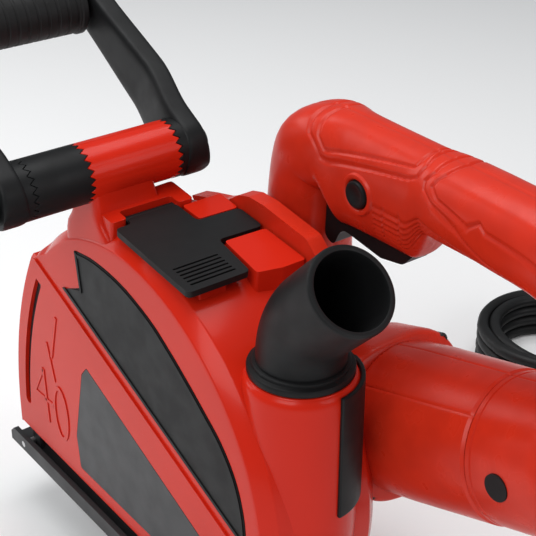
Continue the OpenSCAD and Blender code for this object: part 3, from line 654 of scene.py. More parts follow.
def rounded(outline: list, radius: float) -> np.ndarray:
    """Rounds an outline's corners with quadratic curves of five points.

    Each corner V becomes (1-t)^2 A + 2t(1-t) V + t^2 B, where A and B lie
    radius * tan(turn / 2) before and after it, but never past 0.45 of a side.

    Args:
        outline: (n, 2) corners.
        radius: the corner radius.

    Returns:
        The rounded outline.
    """
    v = np.asarray(outline, float)
    back, ahead = np.roll(v, 1, 0) - v, np.roll(v, -1, 0) - v
    lb, la = np.linalg.norm(back, axis=1), np.linalg.norm(ahead, axis=1)
    ub, ua = back / lb[:, None], ahead / la[:, None]
    turn = np.pi - np.arccos(np.clip((ub * ua).sum(1), -1, 1))
    d = np.minimum(radius * np.tan(turn / 2), 0.45 * np.minimum(lb, la))[:, None]
    t = np.linspace(0, 1, 5)[None, :, None]
    a, b, m = (v + ub * d)[:, None], (v + ua * d)[:, None], v[:, None]
    return ((1 - t) ** 2 * a + 2 * t * (1 - t) * m + t**2 * b).reshape(-1, 2)


def circle(cx: float, cy: float, r: float, steps: int = 48) -> np.ndarray:
    """Points once round a circle."""
    return arc(cx, cy, r, 0, 360 * (steps - 1) / steps, steps)


def ribbon(points: list, width: float) -> np.ndarray:
    """The outline of a stroke of one width along a few points.

    Args:
        points: the stroke's middle line.
        width: the stroke's width.

    Returns:
        The closed outline.
    """
    p = np.asarray(points, float)
    d = np.gradient(p, axis=0)
    n = np.column_stack([-d[:, 1], d[:, 0]]) / np.linalg.norm(d, axis=1)[:, None] * width / 2
    return np.vstack([p + n, (p - n)[::-1]])


def toothed_tube(name: str, x: float, z: float, radius: float, wall: float, low: float,
                 high: float, teeth: tuple, flutes: tuple = (0, 0.0)) -> bpy.types.Object:
    """A tube along Y whose ends interlock with its neighbours in a zigzag.

    The end at y is moved by h * (|4 f| - 1) with f the tooth's fraction in -0.5..0.5.

    Args:
        name: the piece's name.
        x: the axis's X.
        z: the axis's Z.
        radius: the outer radius.
        wall: the wall.
        low: the right end's Y.
        high: the left end's Y.
        teeth: the zigzag's half height at the right and at the left end.
        flutes: number and depth of long shallow flutes.

    Returns:
        The new object.
    """
    tooth_count, middle, count = 22, 12, 264
    a = np.linspace(0, 2 * np.pi, count, endpoint=False)
    f = (a / (2 * np.pi) * tooth_count) % 1.0 - 0.5
    zig = np.abs(4 * f) - 1
    inset, rim = np.array([(0.0, radius - wall), (0.0, radius - 0.5), (0.5, radius)]).T
    mid = np.linspace(0.12, 0.88, middle)
    y = np.concatenate([low + inset, low + (high - low) * mid, high - inset[::-1]])
    r = np.concatenate([rim, np.full(middle, radius), rim[::-1]])
    share = np.repeat([teeth[0], 0.0, teeth[1]], [3, middle, 3])
    yy = y[:, None] + share[:, None] * zig[None, :]
    cut = flutes[1] * (1 - np.abs(np.cos(flutes[0] * a / 2)))
    rr = r[:, None] - cut[None, :] * (r[:, None] > radius - 0.1)
    pts = np.stack([x + rr * np.cos(a), yy, z + rr * np.sin(a)], -1)
    return add_mesh(name, pts.reshape(-1, 3), grid_faces(len(y), count, True, True), 32.0)


@dataclass
class Guard:
    """The pressed guard: drum, bevels, front block, side plates, panels and outlet tower."""

    radius: float = GUARD_R
    half: float = GUARD_HALF
    foot: float = -60.0
    pivot_x: float = -112.0
    pivot_z: float = -56.0
    front_r: float = 247.7
    slot_r: float = 234.2
    slot_w: float = 6.0
    slot_span: tuple = (5, 29)
    strip: float = 8.5
    wall: float = 2.2

    def stations(self) -> tuple:
        """The side outline over the top, its outward normals and the bevel's share.

        Returns:
            (n, 2) outline, (n, 2) normals and (n,) shares.
        """
        drum = arc(0, 0, self.radius, 210, 38.4, 190)
        corner = arc(97.8, 71.9, 2.0, 90, 33, 8)
        block = arc(self.pivot_x, self.pivot_z, self.front_r, 31.0, -0.4, 60)
        toe = [[135.6, -58.9], [135.1, -59.7], [134.2, -60.0]]
        path = np.vstack([arc(0, 0, self.radius, 213, 213, 1), drum, [[95.4, 73.85]], corner, block, toe])
        step = np.gradient(path, axis=0)
        normal = np.column_stack([-step[:, 1], step[:, 0]])
        normal /= np.linalg.norm(normal, axis=1)[:, None]
        angle = np.degrees(np.arctan2(path[:, 1], path[:, 0])) % 360
        share = 0.28 + 0.72 * smoothstep(39.0, 46.0, np.where(angle > 300, 0, angle))
        return path, normal, share

    def shell(self) -> bpy.types.Object:
        """The rim and both bevels as one closed section carried along the outline.

        Returns:
            The new object.
        """
        path, normal, share = self.stations()
        outer = np.array([[self.strip, 0], [6.1, 0], [5.65, 0.1], [5.2, 0.45], [0.5, 6.45], [0.13, 6.95],
                          [0, 7.6]])
        inset, drop = np.vstack([outer, outer[::-1]]).T
        sign = np.repeat([1.0, -1.0], len(outer))
        y = sign * (self.half - drop[None, :] * share[:, None])
        cut = inset[None, :] * share[:, None]
        inner = np.array([[self.strip, -32.2], [4.2, -32.2], [self.wall, -27], [self.wall, 27], [4.2, 31.9],
                          [self.strip, 31.9]])
        y = np.hstack([y, np.broadcast_to(inner[:, 1], (len(path), len(inner)))])
        cut = np.hstack([cut, np.maximum(inner[None, :, 0] * share[:, None], self.wall)])
        xz = path[:, None, :] - normal[:, None, :] * cut[..., None]
        xz[..., 1] = np.maximum(xz[..., 1], self.foot)
        return loft("guard_shell", np.stack([xz[..., 0], y, xz[..., 1]], -1), sharp=40)

    def plate_outline(self) -> np.ndarray:
        """The side plate's edge, where the shell's flat strip begins.

        Returns:
            (n, 2) outline.
        """
        path, normal, share = self.stations()
        edge = path - normal * (self.strip * share)[:, None]
        edge[:, 1] = np.maximum(edge[:, 1], self.foot)
        return edge

    def slot_hole(self) -> np.ndarray:
        """The arc slot, as a closed outline with round ends.

        Returns:
            (n, 2) outline.
        """
        w = self.slot_w / 2
        px, pz, r = self.pivot_x, self.pivot_z, self.slot_r
        low, high = self.slot_span
        ends = [(px + r * math.cos(math.radians(a)), pz + r * math.sin(math.radians(a))) for a in (low, high)]
        return np.vstack([arc(px, pz, r + w, low, high, 40),
                          arc(*ends[1], w, high, high + 180, 12)[1:-1],
                          arc(px, pz, r - w, high, low, 40),
                          arc(*ends[0], w, low + 180, low + 360, 12)[1:-1]])

    def crescent(self, inset: float = 0.0) -> np.ndarray:
        """The black panel under the arc, drawn inset from its recess.

        Args:
            inset: distance inside the recess's edge, or outside it when negative.

        Returns:
            (n, 2) outline.
        """
        arch = curve_points([[47, 98.5], [26, 101.2], [0, 99.2], [-25, 91.6], [-42, 82.4], [-57, 72.6],
                             [-71, 62.6], [-84, 52.4], [-95, 38], [-101, 21], [-103, 4]], 5)
        shape = np.vstack([[[44, 77], [63, 68]], [[-101, 1.2]], arch[::-1]])
        step = np.roll(shape, -1, 0) - np.roll(shape, 1, 0)
        normal = np.column_stack([-step[:, 1], step[:, 0]]) / np.linalg.norm(step, axis=1)[:, None]
        area = np.sum(shape[:, 0] * np.roll(shape[:, 1], -1) - np.roll(shape[:, 0], -1) * shape[:, 1])
        moved = shape + normal * inset * np.sign(area)
        return rounded(moved, 2.2) if inset <= 1 else moved

    def badge(self, inset: float = 0.0) -> np.ndarray:
        """The bare grey panel below the diagonal band.

        Args:
            inset: distance inside the recess's edge, or outside it when negative.

        Returns:
            (n, 2) outline.
        """
        k = inset
        shape = np.vstack([[[44 - k * 0.3, 27 - k], [-94 + k, -30 - k]], arc(0, 0, 101 - k, 201.5, 209.6, 6),
                           [[60 - k, -50 + k], [62 - k, -28], [50 - k, 20 - k * 0.6]]])
        return rounded(shape, 2.0)

    def tower(self) -> bpy.types.Object:
        """The round dust outlet tower, closed in to the elbow's seat.

        Returns:
            The new object.
        """
        profile = [(-20, 17.4), (-20, 24), (-8, 27.2), (6, 27.8), (82.6, 27.8), (84.4, 27.55), (86, 27.0),
                   (87.2, 26.3), (87.9, 25.6), (88.1, 25.3), (88.5, 25.1), (88.5, 17.4)]
        return lathe("outlet_tower", profile, (DustElbow.x, 0, 0), UPWARD, 128, 42)

    def marks(self) -> None:
        """The raised arrow and the plain depth number 40 on the front of the side plate."""
        oval = circle(79, -23, 1, 25)
        oval = np.array([79, -23]) + (np.vstack([oval, oval[:1]]) - [79, -23]) * [7.5, 17.5]
        strokes = {"arrow_stem": ([[75, 44], [84.5, 13]], 2.2),
                   "arrow_barb": ([[89.5, 21], [83, -3]], 2.2),
                   "four_left": ([[97, -1], [109, -22], [87, -22]], 2.6),
                   "four_down": ([[97, -1], [95.5, -38]], 2.6),
                   "zero": (oval, 2.6)}
        for name, (points, width) in strokes.items():
            painted(slab(name, ribbon(points, width), [], 34.2, 35.0), (0.35, 2))

    def deck(self) -> None:
        """The raised pads that the latch lever is sunk between, on the lever's own slope."""
        front = [[11.6, -10], [-3.2, -10.5], [-4.3, -33.5], [11.6, -33.5]]
        hinge = [[12, 22.2], [12, 31], [30, 31], [32, -17], [12, -17], [12, -8.2], [19.8, -8.2], [19.8, 22.2]]
        rear = [[-27.7, -33.5], [-26.8, -9.2], [-57, -6.5], [-60, -20], [-60, -33.5]]
        pads = (("deck_front", front, -26.0, 1.2), ("deck_hinge", hinge, -14.0, 3.4),
                ("deck_rear", rear, -26.0, 1.2))
        for name, shape, low, high in pads:
            painted(slab(name, rounded(shape, 2.0), [], low, high, "xy", warp=Latch().warp), (1.0,))

    def skins(self) -> None:
        """The side plate with its two recessed beds, and the plate on the motor's side."""
        outline, bed = self.plate_outline(), (31.95, 33.2)
        rows = (("side_plate", outline, [self.slot_hole(), self.crescent(), self.badge()], 31.9, self.half),
                ("panel_bed", self.crescent(-1.0), [], *bed),
                ("badge_bed", self.badge(-1.0), [], *bed),
                ("back_plate", outline, [circle(0, 0, 27.4, 64)], -self.half, -32.2))
        for row in rows:
            painted(slab(*row))

    def panels(self) -> None:
        """The diagonal band, the black crescent with its border, and the grey panel."""
        band = rounded([[94, 74], [94, 62], [-98, -16], [-98, -4]], 1.5)
        painted(slab("diagonal_band", band, [], 34.0, 35.5), (0.7,))
        black, gap = "black_plastic", 0.35
        rows = (("crescent_panel", self.crescent(gap), [], 33.2, 34.7, 0.5, black, ("crescent_insert",)),
                ("crescent_border", self.crescent(1.4), [self.crescent(3.4)], 34.5, 35.3, 0.35, black, ()),
                ("grey_panel", self.badge(gap), [], 33.2, 34.5, 0.5, "badge_grey", ("badge_plate",)))
        for *shape, width, slot, nodes in rows:
            settle(slab(*shape), Body.MACHINE, slot, nodes, (width,))

    def hinges(self) -> None:
        """The sole's two pivot ears and the lever's two knuckles."""
        lug = np.vstack([arc(self.pivot_x, self.pivot_z, 9, 130, 300, 24),
                         [[-98, -60], [-88, -34], [-104, -36]]])
        for side, low, high in (("left", 20.0, 35.5), ("right", -35.5, -20.0)):
            hole = circle(self.pivot_x, self.pivot_z, 4.15, 40)
            painted(slab("pivot_ear_" + side, lug, [hole], low, high), (1.0,))
        x, z = Latch.hinge_x, Latch.hinge_z
        knuckle = np.vstack([arc(x, z, 3.2, 0, 180, 16), [[12.4, 114], [19.6, 114]]])
        for k, y in enumerate((26.0, -12.0)):
            painted(slab(f"hinge_knuckle_{k}", knuckle, [circle(x, z, 1.55, 20)], y - 4, y + 4), (0.5,))

    def build(self) -> None:
        """Makes every piece of the guard."""
        settle(self.shell(), Body.MACHINE, "guard_paint", ("guard_casting", "side_cover"))
        self.skins()
        painted(self.tower())
        self.marks()
        self.deck()
        self.panels()
        self.hinges()
        rest = rounded([[-50, 6], [-40, 6], [-40, 22], [-50, 22]], 1.5)
        painted(slab("lever_rest", rest, [], 104, 115.4, "xy"))


@dataclass
class Latch:
    """The T-shaped latch lever on the rim, with six thumb grooves."""

    hinge_x: float = 16.0
    hinge_z: float = 122.4
    tilt: float = math.radians(6)

    def warp(self, pts: np.ndarray) -> np.ndarray:
        """Tips the flat lever down to the rear about its hinge line.

        Args:
            pts: (n, 3) points of the flat lever.

        Returns:
            The same points, tipped.
        """
        c, s = math.cos(self.tilt), math.sin(self.tilt)
        x, z = pts[:, 0] * c - pts[:, 2] * s, self.hinge_z + pts[:, 0] * s + pts[:, 2] * c
        return np.column_stack([x, pts[:, 1], z])

    def build(self) -> None:
        """Makes the lever: a plate, a grooved skin on it, and the hinge barrel."""
        shape = rounded([[14, 21.5], [14, -7.5], [-5, -8], [-6, -33], [-26, -33], [-25, -7], [-55, -4],
                         [-55, 31], [9, 31], [9, 21.5]], 3.0)
        half = 0.55
        grooves = [np.vstack([arc(x, 26, half, 0, 180, 8), arc(x, 1.5, half, 180, 360, 8)])
                   for x in (-35.5 - 2.9 * k for k in range(6))]
        plate = slab("latch_plate", shape, [], -1.4, 0.9, "xy", warp=self.warp)
        settle(plate, Body.LATCH, "black_plastic", ("latch_lever",))
        skin = slab("latch_skin", shape, grooves, 0.8, 2.0, "xy", warp=self.warp)
        settle(skin, Body.LATCH, "black_plastic", (), (0.45,))
        barrel = lathe("latch_barrel", [(-7.3, 1.55), (-7.3, 3.0), (21.3, 3.0), (21.3, 1.55)],
                       (self.hinge_x, 0, self.hinge_z), ACROSS, 40)
        settle(barrel, Body.LATCH, "black_plastic")


@dataclass
class FrontBow:
    """The cross bar over the guard, its pedestal, both arms and the front grip."""

    bar_x: float = 35.3
    bar_z: float = 145.7
    bar_r: float = 15.2
    rise: float = math.radians(28)
    length: float = 108.0

    def pedestal(self) -> bpy.types.Object:
        """The bracket's flared foot: superellipses that narrow up to the sleeve.

        Returns:
            The new object.
        """
        z = np.array([102, 108, 113, 116, 118.5, 121, 124, 128, 134, 140, 145.7])
        x0 = np.array([10, 10.5, 11.5, 13, 15.2, 17.8, 20, 21.6, 22.4, 22.6, 22.8])
        x1 = np.array([59, 58.5, 56.5, 54, 51.6, 49.8, 48.6, 48, 47.8, 47.7, 47.7])
        y0 = np.array([-16, -15.5, -14, -12, -9.6, -7.4, -5.6, -4, -2.6, -2, -2])
        y1 = 33.6
        centre = np.column_stack([(x0 + x1) / 2, (y0 + y1) / 2, z])
        rings = ring(centre, (1, 0, 0), ACROSS, (x1 - x0) / 2, (y1 - y0) / 2, 9.0, 128)
        return loft("bracket_foot", rings, sharp=50)

    def arm(self, name: str, near: tuple, far: tuple) -> bpy.types.Object:
        """One flat arm: rounded sections from the hub to the front grip.

        Args:
            name: the piece's name.
            near: the arm's Y range at the hub.
            far: its Y range at the front grip.

        Returns:
            The new object.
        """
        hub, tip, least = 16, 12, 0.4
        u = np.concatenate([-hub * np.cos(np.linspace(0.12, np.pi / 2, 20)),
                            np.linspace(2, self.length - 2, 32),
                            self.length + tip * np.sin(np.linspace(0, np.pi / 2 - 0.12, 20))])
        h = np.where(u < 0, np.sqrt(np.maximum(hub**2 - u**2, least)),
                     hub - (hub - tip) * smoothstep(30, self.length, u))
        h = np.where(u > self.length, np.sqrt(np.maximum(tip**2 - (u - self.length) ** 2, least)), h)
        t = smoothstep(10, 46, u)
        low, high = near[0] + (far[0] - near[0]) * t, near[1] + (far[1] - near[1]) * t
        d = np.array([math.cos(self.rise), 0, math.sin(self.rise)])
        up = np.array([-math.sin(self.rise), 0, math.cos(self.rise)])
        centre = np.array([self.bar_x, 0, self.bar_z]) + u[:, None] * d
        centre[:, 1] += (low + high) / 2
        return loft(name, ring(centre, ACROSS, up, (high - low) / 2, h, 6.0, 72), sharp=60)

    def build(self) -> None:
        """Makes the bracket, the bar's sleeves, the arms, the grip and the knob."""
        axis = (self.bar_x, 0, self.bar_z)
        settle(self.pedestal(), Body.MACHINE, "guard_paint", ("handle_bracket",))
        painted(toothed_tube("red_sleeve", self.bar_x, self.bar_z, self.bar_r, 4, -16.5, 34.5,
                             (1.5, 1.5), (11, 0.16)))
        tubes = (("black_spacer", self.bar_r, 34.5, 65.5, (1.5, 1.5), ("spacer_sleeve",)),
                 ("right_hub", 15.3, -26.0, -16.5, (0.0, 1.5), ("bow_handle",)),
                 ("left_hub", 15.25, 65.5, 76.0, (1.5, 0.0), ()))
        for name, radius, low, high, teeth, nodes in tubes:
            tube = toothed_tube(name, self.bar_x, self.bar_z, radius, 6, low, high, teeth)
            settle(tube, Body.BOW, "black_plastic", nodes)
        for arm in (("left_arm", (69.5, 83.0), (74.5, 87.5)), ("right_arm", (-34.0, -20.5), (-38.5, -25.5))):
            settle(self.arm(*arm), Body.BOW, "black_plastic")
        self.grip()
        bolt = lathe("bow_bolt_head", [(34.1, 0), (34.1, 8.2), (37, 8.2), (38.2, 7.2), (38.6, 4.6),
                                       (37.4, 4.2), (37.4, 0)], axis, (0, -1, 0), 48)
        settle(bolt, Body.BOW, "dark_steel", ("bow_bolt",))
        profile = [(83.1, 0), (83.1, 9.5), (83.6, 11.8), (84.8, 13.6), (86.2, 14), (93.5, 14), (95.4, 13.2),
                   (96.6, 11.6), (97, 9.8), (96.4, 8.2), (95.6, 7.2), (95.4, 0)]
        knob = lathe("bow_star_knob", profile, axis, ACROSS, 144, 40, (8, 2.4))
        settle(knob, Body.BOW, "black_plastic", ("bow_knob",))

    def grip(self) -> None:
        """The front grip: a ringed rubber tube between two collars, on a plain core."""
        place = (self.bar_x + self.length * math.cos(self.rise), 0,
                 self.bar_z + self.length * math.sin(self.rise))
        low, high = -22.5, 71.5
        s = np.linspace(low + 5, high - 5, 169)
        r = 14.7 - 0.45 * (np.cos(2 * np.pi * (s - low) / 6.0) > 0.82)
        profile = [(low, 9.0), (low, 14.6), (low + 0.8, 15.4), (low + 3.4, 15.4), (low + 4.2, 14.7)]
        profile += list(zip(s, r))
        profile += [(high - 4.2, 14.7), (high - 3.4, 15.4), (high - 0.8, 15.4), (high, 14.6), (high, 9.0)]
        rubber = lathe("front_grip_rubber", profile, place, ACROSS, 96)
        settle(rubber, Body.BOW, "grip_rubber", ("front_grip",))
        core = lathe("grip_core", [(-26, 3), (-26, 8.8), (75, 8.8), (75, 3)], place, ACROSS, 48)
        settle(core, Body.BOW, "black_plastic")


@dataclass
class DustElbow:
    """The swivelling dust elbow with its flange, bend and thick mouth."""

    x: float = -99.0
    base: float = 82.0
    bend_z: float = 94.8
    bend_r: float = 40.0
    mouth: float = 31.0
    turn: float = math.pi / 4

    def path(self, u: np.ndarray) -> tuple:
        """The centre line and its normal at distances u from the spigot's end.

        Straight up to the bend, round it by 45 degrees to the rear, then straight on.

        Args:
            u: (n,) distances.

        Returns:
            (n, 3) centres and (n, 3) normals.
        """
        past = u - (self.bend_z - self.base)
        a = np.clip(past / self.bend_r, 0, self.turn)
        rest = np.maximum(past - self.bend_r * self.turn, 0)
        x = self.x - self.bend_r * (1 - np.cos(a)) - rest * math.sin(self.turn)
        z = np.minimum(self.base + u, self.bend_z) + self.bend_r * np.sin(a) + rest * math.cos(self.turn)
        up = np.column_stack([np.cos(a), np.zeros(len(u)), np.sin(a)])
        return np.column_stack([x, np.zeros(len(u)), z]), up

    def build(self) -> None:
        """Makes the elbow as one closed wall, out along the outside and back inside."""
        end = self.bend_z - self.base + self.bend_r * self.turn + self.mouth
        out = [(0, 15.2), (0, 17), (6.7, 17), (6.7, 24.3), (7.2, 25.0), (7.9, 25.2), (9.6, 25.2),
               (10.3, 24.9), (10.7, 24.0), (10.8, 23.3), (11.0, 22.9), (12.4, 22.9), (12.8, 22.4),
               (12.9, 21.0)]
        bend = [(u, 21.0) for u in np.linspace(14, end - 1.2, 44)]
        lip = [(end - 0.6, 20.85), (end - 0.15, 20.5), (end, 19.9), (end, 18.7), (end - 0.2, 18.2),
               (end - 0.8, 18.0)]
        inner = np.linspace(end - 3, 1.0, 34)
        bore = list(zip(inner, 15.2 + 2.8 * smoothstep(10, end - 20, inner)))
        table = np.array(out + bend + lip + bore)
        centre, up = self.path(table[:, 0])
        rings = ring(centre, up, ACROSS, table[:, 1], table[:, 1], 2.0, 96)
        obj = loft("dust_elbow_wall", rings, closed=True, sharp=38)
        settle(obj, Body.ELBOW, "black_plastic", ("dust_elbow",))
        band = np.vstack([arc(self.x, 0, 29.6, 181, 262, 30), arc(self.x, 0, 27.3, 262, 181, 30)])
        strip = slab("outlet_corner_strip", band, [], 20, 87.4, "xy")
        settle(strip, Body.MACHINE, "black_plastic", ("outlet_strip",), (1.0,))


@dataclass
class RearHandle:
    """The red D-handle with its seams, grooves and ring boss."""

    y: float = MOTOR_Y
    lock_x: float = -73.0
    lock_z: float = 151.0
    well: float = 11.2
    well_r: float = 8.4
    skin_r: float = 19.0
    top_z: float = 150.0
    belly: float = 17.0
    waist: float = 2.2
    blade: float = 7.0

    def grooves(self) -> list:
        """Groove lines, each with its depth and width.

        A line's corners are (back from the spindle, degrees down from the top seam).

        Returns:
            Rows of (corners, depth, width).
        """
        front = [[40, 0], [40, 46], [41, 64], [48, 81], [110, 56], [112, 32], [110, 0]]
        inner = [[45, 0], [45, 46], [46, 60], [50, 70], [106, 41], [107.5, 22], [107, 0]]
        band = [[118.5, 0], [119, 36], [116, 57], [117, 70], [124, 84], [139, 94], [176, 150]]
        rear = [[126.5, 0], [125, 30], [122.5, 47], [121.5, 60], [126, 73], [145.5, 87], [152, 75], [156, 83],
                [196, 88]]
        lines = [(front, 1.1, 0.8), (inner, 0.8, 0.65), (band, 1.1, 0.8), (rear, 1.1, 0.8)]
        for k in range(6):
            low = 96 + 6.5 * k
            lines.append(([[84, low], [101, low], [110 - k, low + 7], [178 - 4 * k, 158 - k]], 0.7, 0.55))
        lines += [([[90, 93], [90, 132]], 0.6, 0.5), ([[101, 93], [101, 132]], 0.6, 0.5)]
        return lines

    def gap(self, along: np.ndarray, round_mm: np.ndarray, line: list) -> np.ndarray:
        """Distance on the skin from each grid point to a line, |P - A - t (B - A)| at the nearest t.

        Args:
            along: (n,) distance back of each ring.
            round_mm: (m,) distance round the skin from the top seam.
            line: corners as (back, degrees from the seam).

        Returns:
            (n, m) distances in millimetres.
        """
        p = np.stack(np.broadcast_arrays(along[:, None], round_mm[None, :]), -1)
        q = np.asarray(line, float) * [1, math.radians(self.skin_r)]
        best = np.full(p.shape[:2], 99.0)
        for a, b in zip(q[:-1], q[1:]):
            t = np.clip(((p - a) @ (b - a)) / ((b - a) @ (b - a)), 0, 1)
            best = np.minimum(best, np.linalg.norm(p - a - t[..., None] * (b - a), axis=-1))
        return best

    def centre_line(self) -> tuple:
        """The path as (X, Z, half size) rows, dense where the grooves are, and its unit steps.

        Returns:
            (n, 3) rows and (n, 2) unit steps.
        """
        path = [[-13.5, 34, 24], [-14, 46, 24], [-15, 80, 22.5], [-16.5, 108, 21], [-18, 130, 20.4],
                [-21, 145, 20.6], [-26, 154, 21.4], [-36, 159.2, 21.4], [-50, 161.2, 20.2],
                [-74, 161.8, 19.4], [-110, 162, 19], [-146, 161.8, 19], [-182, 160, 19], [-204, 153, 19],
                [-222, 142, 19], [-234, 128, 18.6], [-238, 110, 18], [-232, 97, 17.4], [-224, 86, 17]]
        coarse, fine = 2.5, 0.55
        c = curve_points(path, 60)
        s = np.concatenate([[0], np.cumsum(np.linalg.norm(np.diff(c[:, :2], axis=0), axis=1))])
        first, last = (s[np.argmax(c[:, 0] < x)] for x in (-34, -199))
        at = np.concatenate([np.arange(0, first, coarse), np.arange(first, last, fine),
                             np.arange(last, s[-1], coarse), s[-1:]])
        c = np.column_stack([np.interp(at, s, c[:, k]) for k in range(3)])
        d = np.gradient(c[:, :2], at, axis=0)
        return c, d / np.linalg.norm(d, axis=1)[:, None]

    def shell(self) -> bpy.types.Object:
        """Superellipses along the path, cut by fine grooves and by the lock button's well.

        Returns:
            The new object.
        """
        c, d = self.centre_line()
        up = np.column_stack([d[:, 1], np.zeros(len(c)), -d[:, 0]])
        x, top = c[:, 0], c[:, 1] > self.top_z
        belly = np.where(top, self.belly * smoothstep(40, 54, -x) * (1 - smoothstep(102, 116, -x)), 0.0)
        waist = np.where(top, self.waist * smoothstep(44, 60, -x) * (1 - smoothstep(104, 124, -x)), 0.0)
        centre = np.column_stack([x, np.full(len(c), self.y), c[:, 1]]) - up * belly[:, None] / 2
        count = 220
        rings = ring(centre, ACROSS, up, c[:, 2] - waist, c[:, 2] + belly / 2, 2.6, count)
        out = rings - centre[:, None, :]
        out /= np.linalg.norm(out, axis=2)[..., None]
        turn = (np.linspace(0, 2 * np.pi, count, endpoint=False) + np.pi / 2) % (2 * np.pi)
        round_mm = np.abs(turn - np.pi) * self.skin_r
        along = np.where(top, -x, -999.0)
        cut = 0.5 * np.exp(-((rings[..., 1] - self.y) / 0.45) ** 2)
        for line, deep, wide in self.grooves():
            cut += deep * np.exp(-(self.gap(along, round_mm, line) / wide) ** 4)
        rings = rings - out * np.minimum(cut, 1.2)[..., None]
        near = np.hypot(rings[..., 0] - self.lock_x, rings[..., 2] - self.lock_z) < self.well_r
        floor = self.y + self.well
        rings[..., 1] = np.where(near & (rings[..., 1] > floor), floor, rings[..., 1])
        return loft("handle_shell", rings, sharp=60)

    def build(self) -> None:
        """Makes the handle's shell, the lock button with its ring, and the trigger."""
        settle(self.shell(), Body.MACHINE, "red_plastic", ("grip_left", "grip_right"))
        boss = [(12, 7.3), (12, 10.8), (17.0, 10.6), (18, 9.8), (18.2, 8.6), (17.8, 7.7), (17.2, 7.3)]
        button = [(11, 0), (11, 6.9), (18, 6.9), (18.8, 6.4), (19, 5.6), (18.6, 4.4), (18, 2.5), (17.8, 0)]
        rows = (("lock_ring", boss, Body.MACHINE, "red_plastic", ()),
                ("lock_button_cap", button, Body.LOCK, "black_plastic", ("lock_button",)))
        for name, profile, body, slot, nodes in rows:
            profile = [(self.y + out, radius) for out, radius in profile]
            settle(lathe(name, profile, (self.lock_x, 0, self.lock_z), ACROSS, 72), body, slot, nodes)
        pin = circle(-44, 146, 1.7, 20)
        blade = rounded([[-40, 150], [-38, 112], [-45, 109], [-51, 121], [-80, 117], [-96, 120], [-108, 134],
                         [-108, 147], [-60, 151]], 7.0)
        trigger = slab("trigger_blade", blade, [pin], self.y - self.blade, self.y + self.blade)
        settle(trigger, Body.TRIGGER, "black_plastic", ("trigger",), (1.6,))


@dataclass
class Drive:
    """The gear housing, the motor's housing and its rear cap, in red plastic."""

    hole: float = 33.5
    power: float = 3.0
    steps: int = 112
    seamed_steps: int = 432

    def flange(self) -> bpy.types.Object:
        """A rounded square block along the motor's axis with a round hole through it.

        Returns:
            The new object.
        """
        at = np.array([60, 64, 70, 76, 98, 101.5, 103.4, 104.2])
        half = np.array([36.5, 38.4, 40.4, 41.2, 41.4, 41, 40.2, 39])
        centre = np.array([0, MOTOR_Y, 0]) + at[:, None] * MOTOR_AXIS
        rings = ring(centre, MOTOR_UP, ACROSS, half, half, self.power, 128)
        bore = ring(centre[[-1, 0]], MOTOR_UP, ACROSS, self.hole, self.hole, 2.0, 128)
        return loft("gear_flange", np.concatenate([rings, bore]), closed=True, sharp=45)

    def build(self) -> None:
        """Makes the drum, neck, flange, web, motor tube and rear cap."""
        origin = (0, MOTOR_Y, 0)
        profile = [(37.6, 36), (37.6, 42), (90, 42), (93.5, 41), (95.3, 38.8), (96, 36), (96, 0)]
        drum = lathe("gear_drum", profile, (0, 0, 0), (0, -1, 0), self.steps)
        settle(drum, Body.MACHINE, "red_plastic", ("gear_housing",))
        neck = lathe("gear_neck", [(34, 36), (34, 38), (94, 38), (94, 36)], origin, MOTOR_AXIS, self.steps)
        settle(neck, Body.MACHINE, "red_plastic")
        settle(self.flange(), Body.MACHINE, "red_plastic")
        outline = rounded([[-8, 30], [20, 108], [38, 110], [40, 112.5], [28, 116], [14, 119.5], [5, 123.5],
                           [-3, 129], [-12, 131.5], [-24, 131.5], [-58, 127], [-70, 117], [-64, 40]], 6.0)
        settle(slab("handle_web", outline, [], -43.7, -34.75), Body.MACHINE, "red_plastic", (), (2.4,))
        tube = [(104.4, 33.2), (104.4, 38.2), (105.2, 38.9), (106.6, 39.1), (126, 38.9), (180.4, 36.75),
                (181.2, 36.1), (181.8, 35.6), (181.8, 33.2)]
        cap = [(182.1, 32.2), (182.1, 35.4), (182.8, 36.1), (185.2, 36.05), (185.6, 35.5), (186.2, 35.5),
               (186.6, 36), (218, 35.2), (222, 34.7), (226, 33.2), (231, 30.6), (235.4, 27.9), (237.4, 25.8),
               (238, 23.5), (238, 9.6), (236, 9.4), (230, 9.2)]
        for name, profile, seams, node in (("motor_tube", tube, (90, 135, 270), "motor_housing"),
                                           ("motor_cap", cap, (90, 270), "rear_cap")):
            shell = lathe(name, profile, origin, MOTOR_AXIS, self.seamed_steps, seams=seams)
            settle(shell, Body.MACHINE, "red_plastic", (node,))


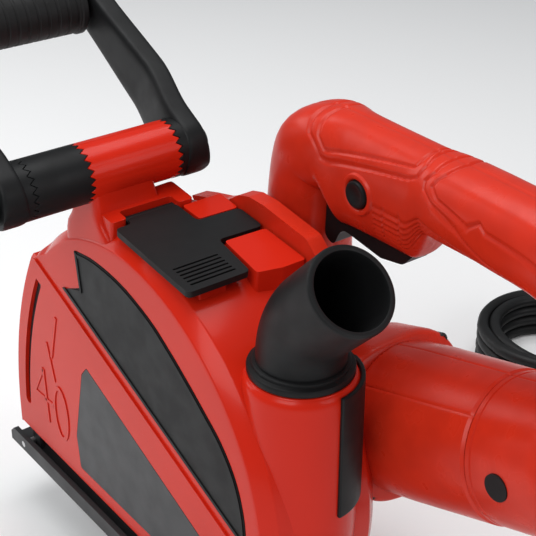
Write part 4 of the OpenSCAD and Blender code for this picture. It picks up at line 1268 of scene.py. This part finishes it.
@dataclass
class FlangeScrews:
    """The four screws that hold the motor to the gear housing's flange."""

    circle: float = 43.4
    corners: tuple = (45, 135, 225, 315)

    def build(self) -> None:
        """Makes each screw's head as a lathe with a socket, sunk at a corner."""
        head = [(96, 0), (96, 3.4), (103.2, 3.4), (103.9, 2.9), (103.9, 1.8), (102.4, 1.6), (102.4, 0)]
        for k, a in enumerate(np.radians(self.corners)):
            out = MOTOR_UP * math.cos(a) + np.array(ACROSS) * math.sin(a)
            at = np.array([0, MOTOR_Y, 0]) + out * self.circle
            screw = lathe(f"flange_screw_{k}", head, at, MOTOR_AXIS, 40)
            settle(screw, Body.MACHINE, "dark_steel", ("housing_screws",))


@dataclass
class Discs:
    """The two segmented cutting discs."""

    radius: float = 115.0
    bore: float = 11.1
    half: float = 1.2
    segments: int = 16
    gullet: float = 11.0
    gullet_share: float = 0.035
    offset: float = 18.0

    def build(self) -> None:
        """Makes each disc as a slab with narrow gullets round its edge."""
        a = np.linspace(0, 2 * np.pi, 720, endpoint=False)
        f = (a / (2 * np.pi) * self.segments) % 1.0
        r = np.where(f < self.gullet_share, self.radius - self.gullet, self.radius)
        edge = np.column_stack([r * np.cos(a), r * np.sin(a)])
        for side, y in (("left", self.offset), ("right", -self.offset)):
            hole = circle(0, 0, self.bore, 64)
            disc = slab("cutting_disc_" + side, edge, [hole], y - self.half, y + self.half)
            settle(disc, Body.SPINDLE, "disc_steel", ("disc_" + side,))


def dress_nodes() -> None:
    """Gives every CAD node that still shows the finish of its material slot."""
    for row in frame["record"]["subparts"]:
        obj = frame["nodes"][row["node"]]
        obj.data.materials.clear()
        obj.data.materials.append(FINISHES[row["material_slot"]].material())


def main() -> None:
    """Builds the studio, the cord and each sub-assembly in order."""
    logging.basicConfig(level=logging.INFO)
    Studio().build()
    dress_nodes()
    Cord().build()
    for part in (Guard(), Latch(), FrontBow(), DustElbow(), RearHandle(), Drive(), FlangeScrews(), Discs()):
        part.build()


if __name__ == "__main__":
    main()
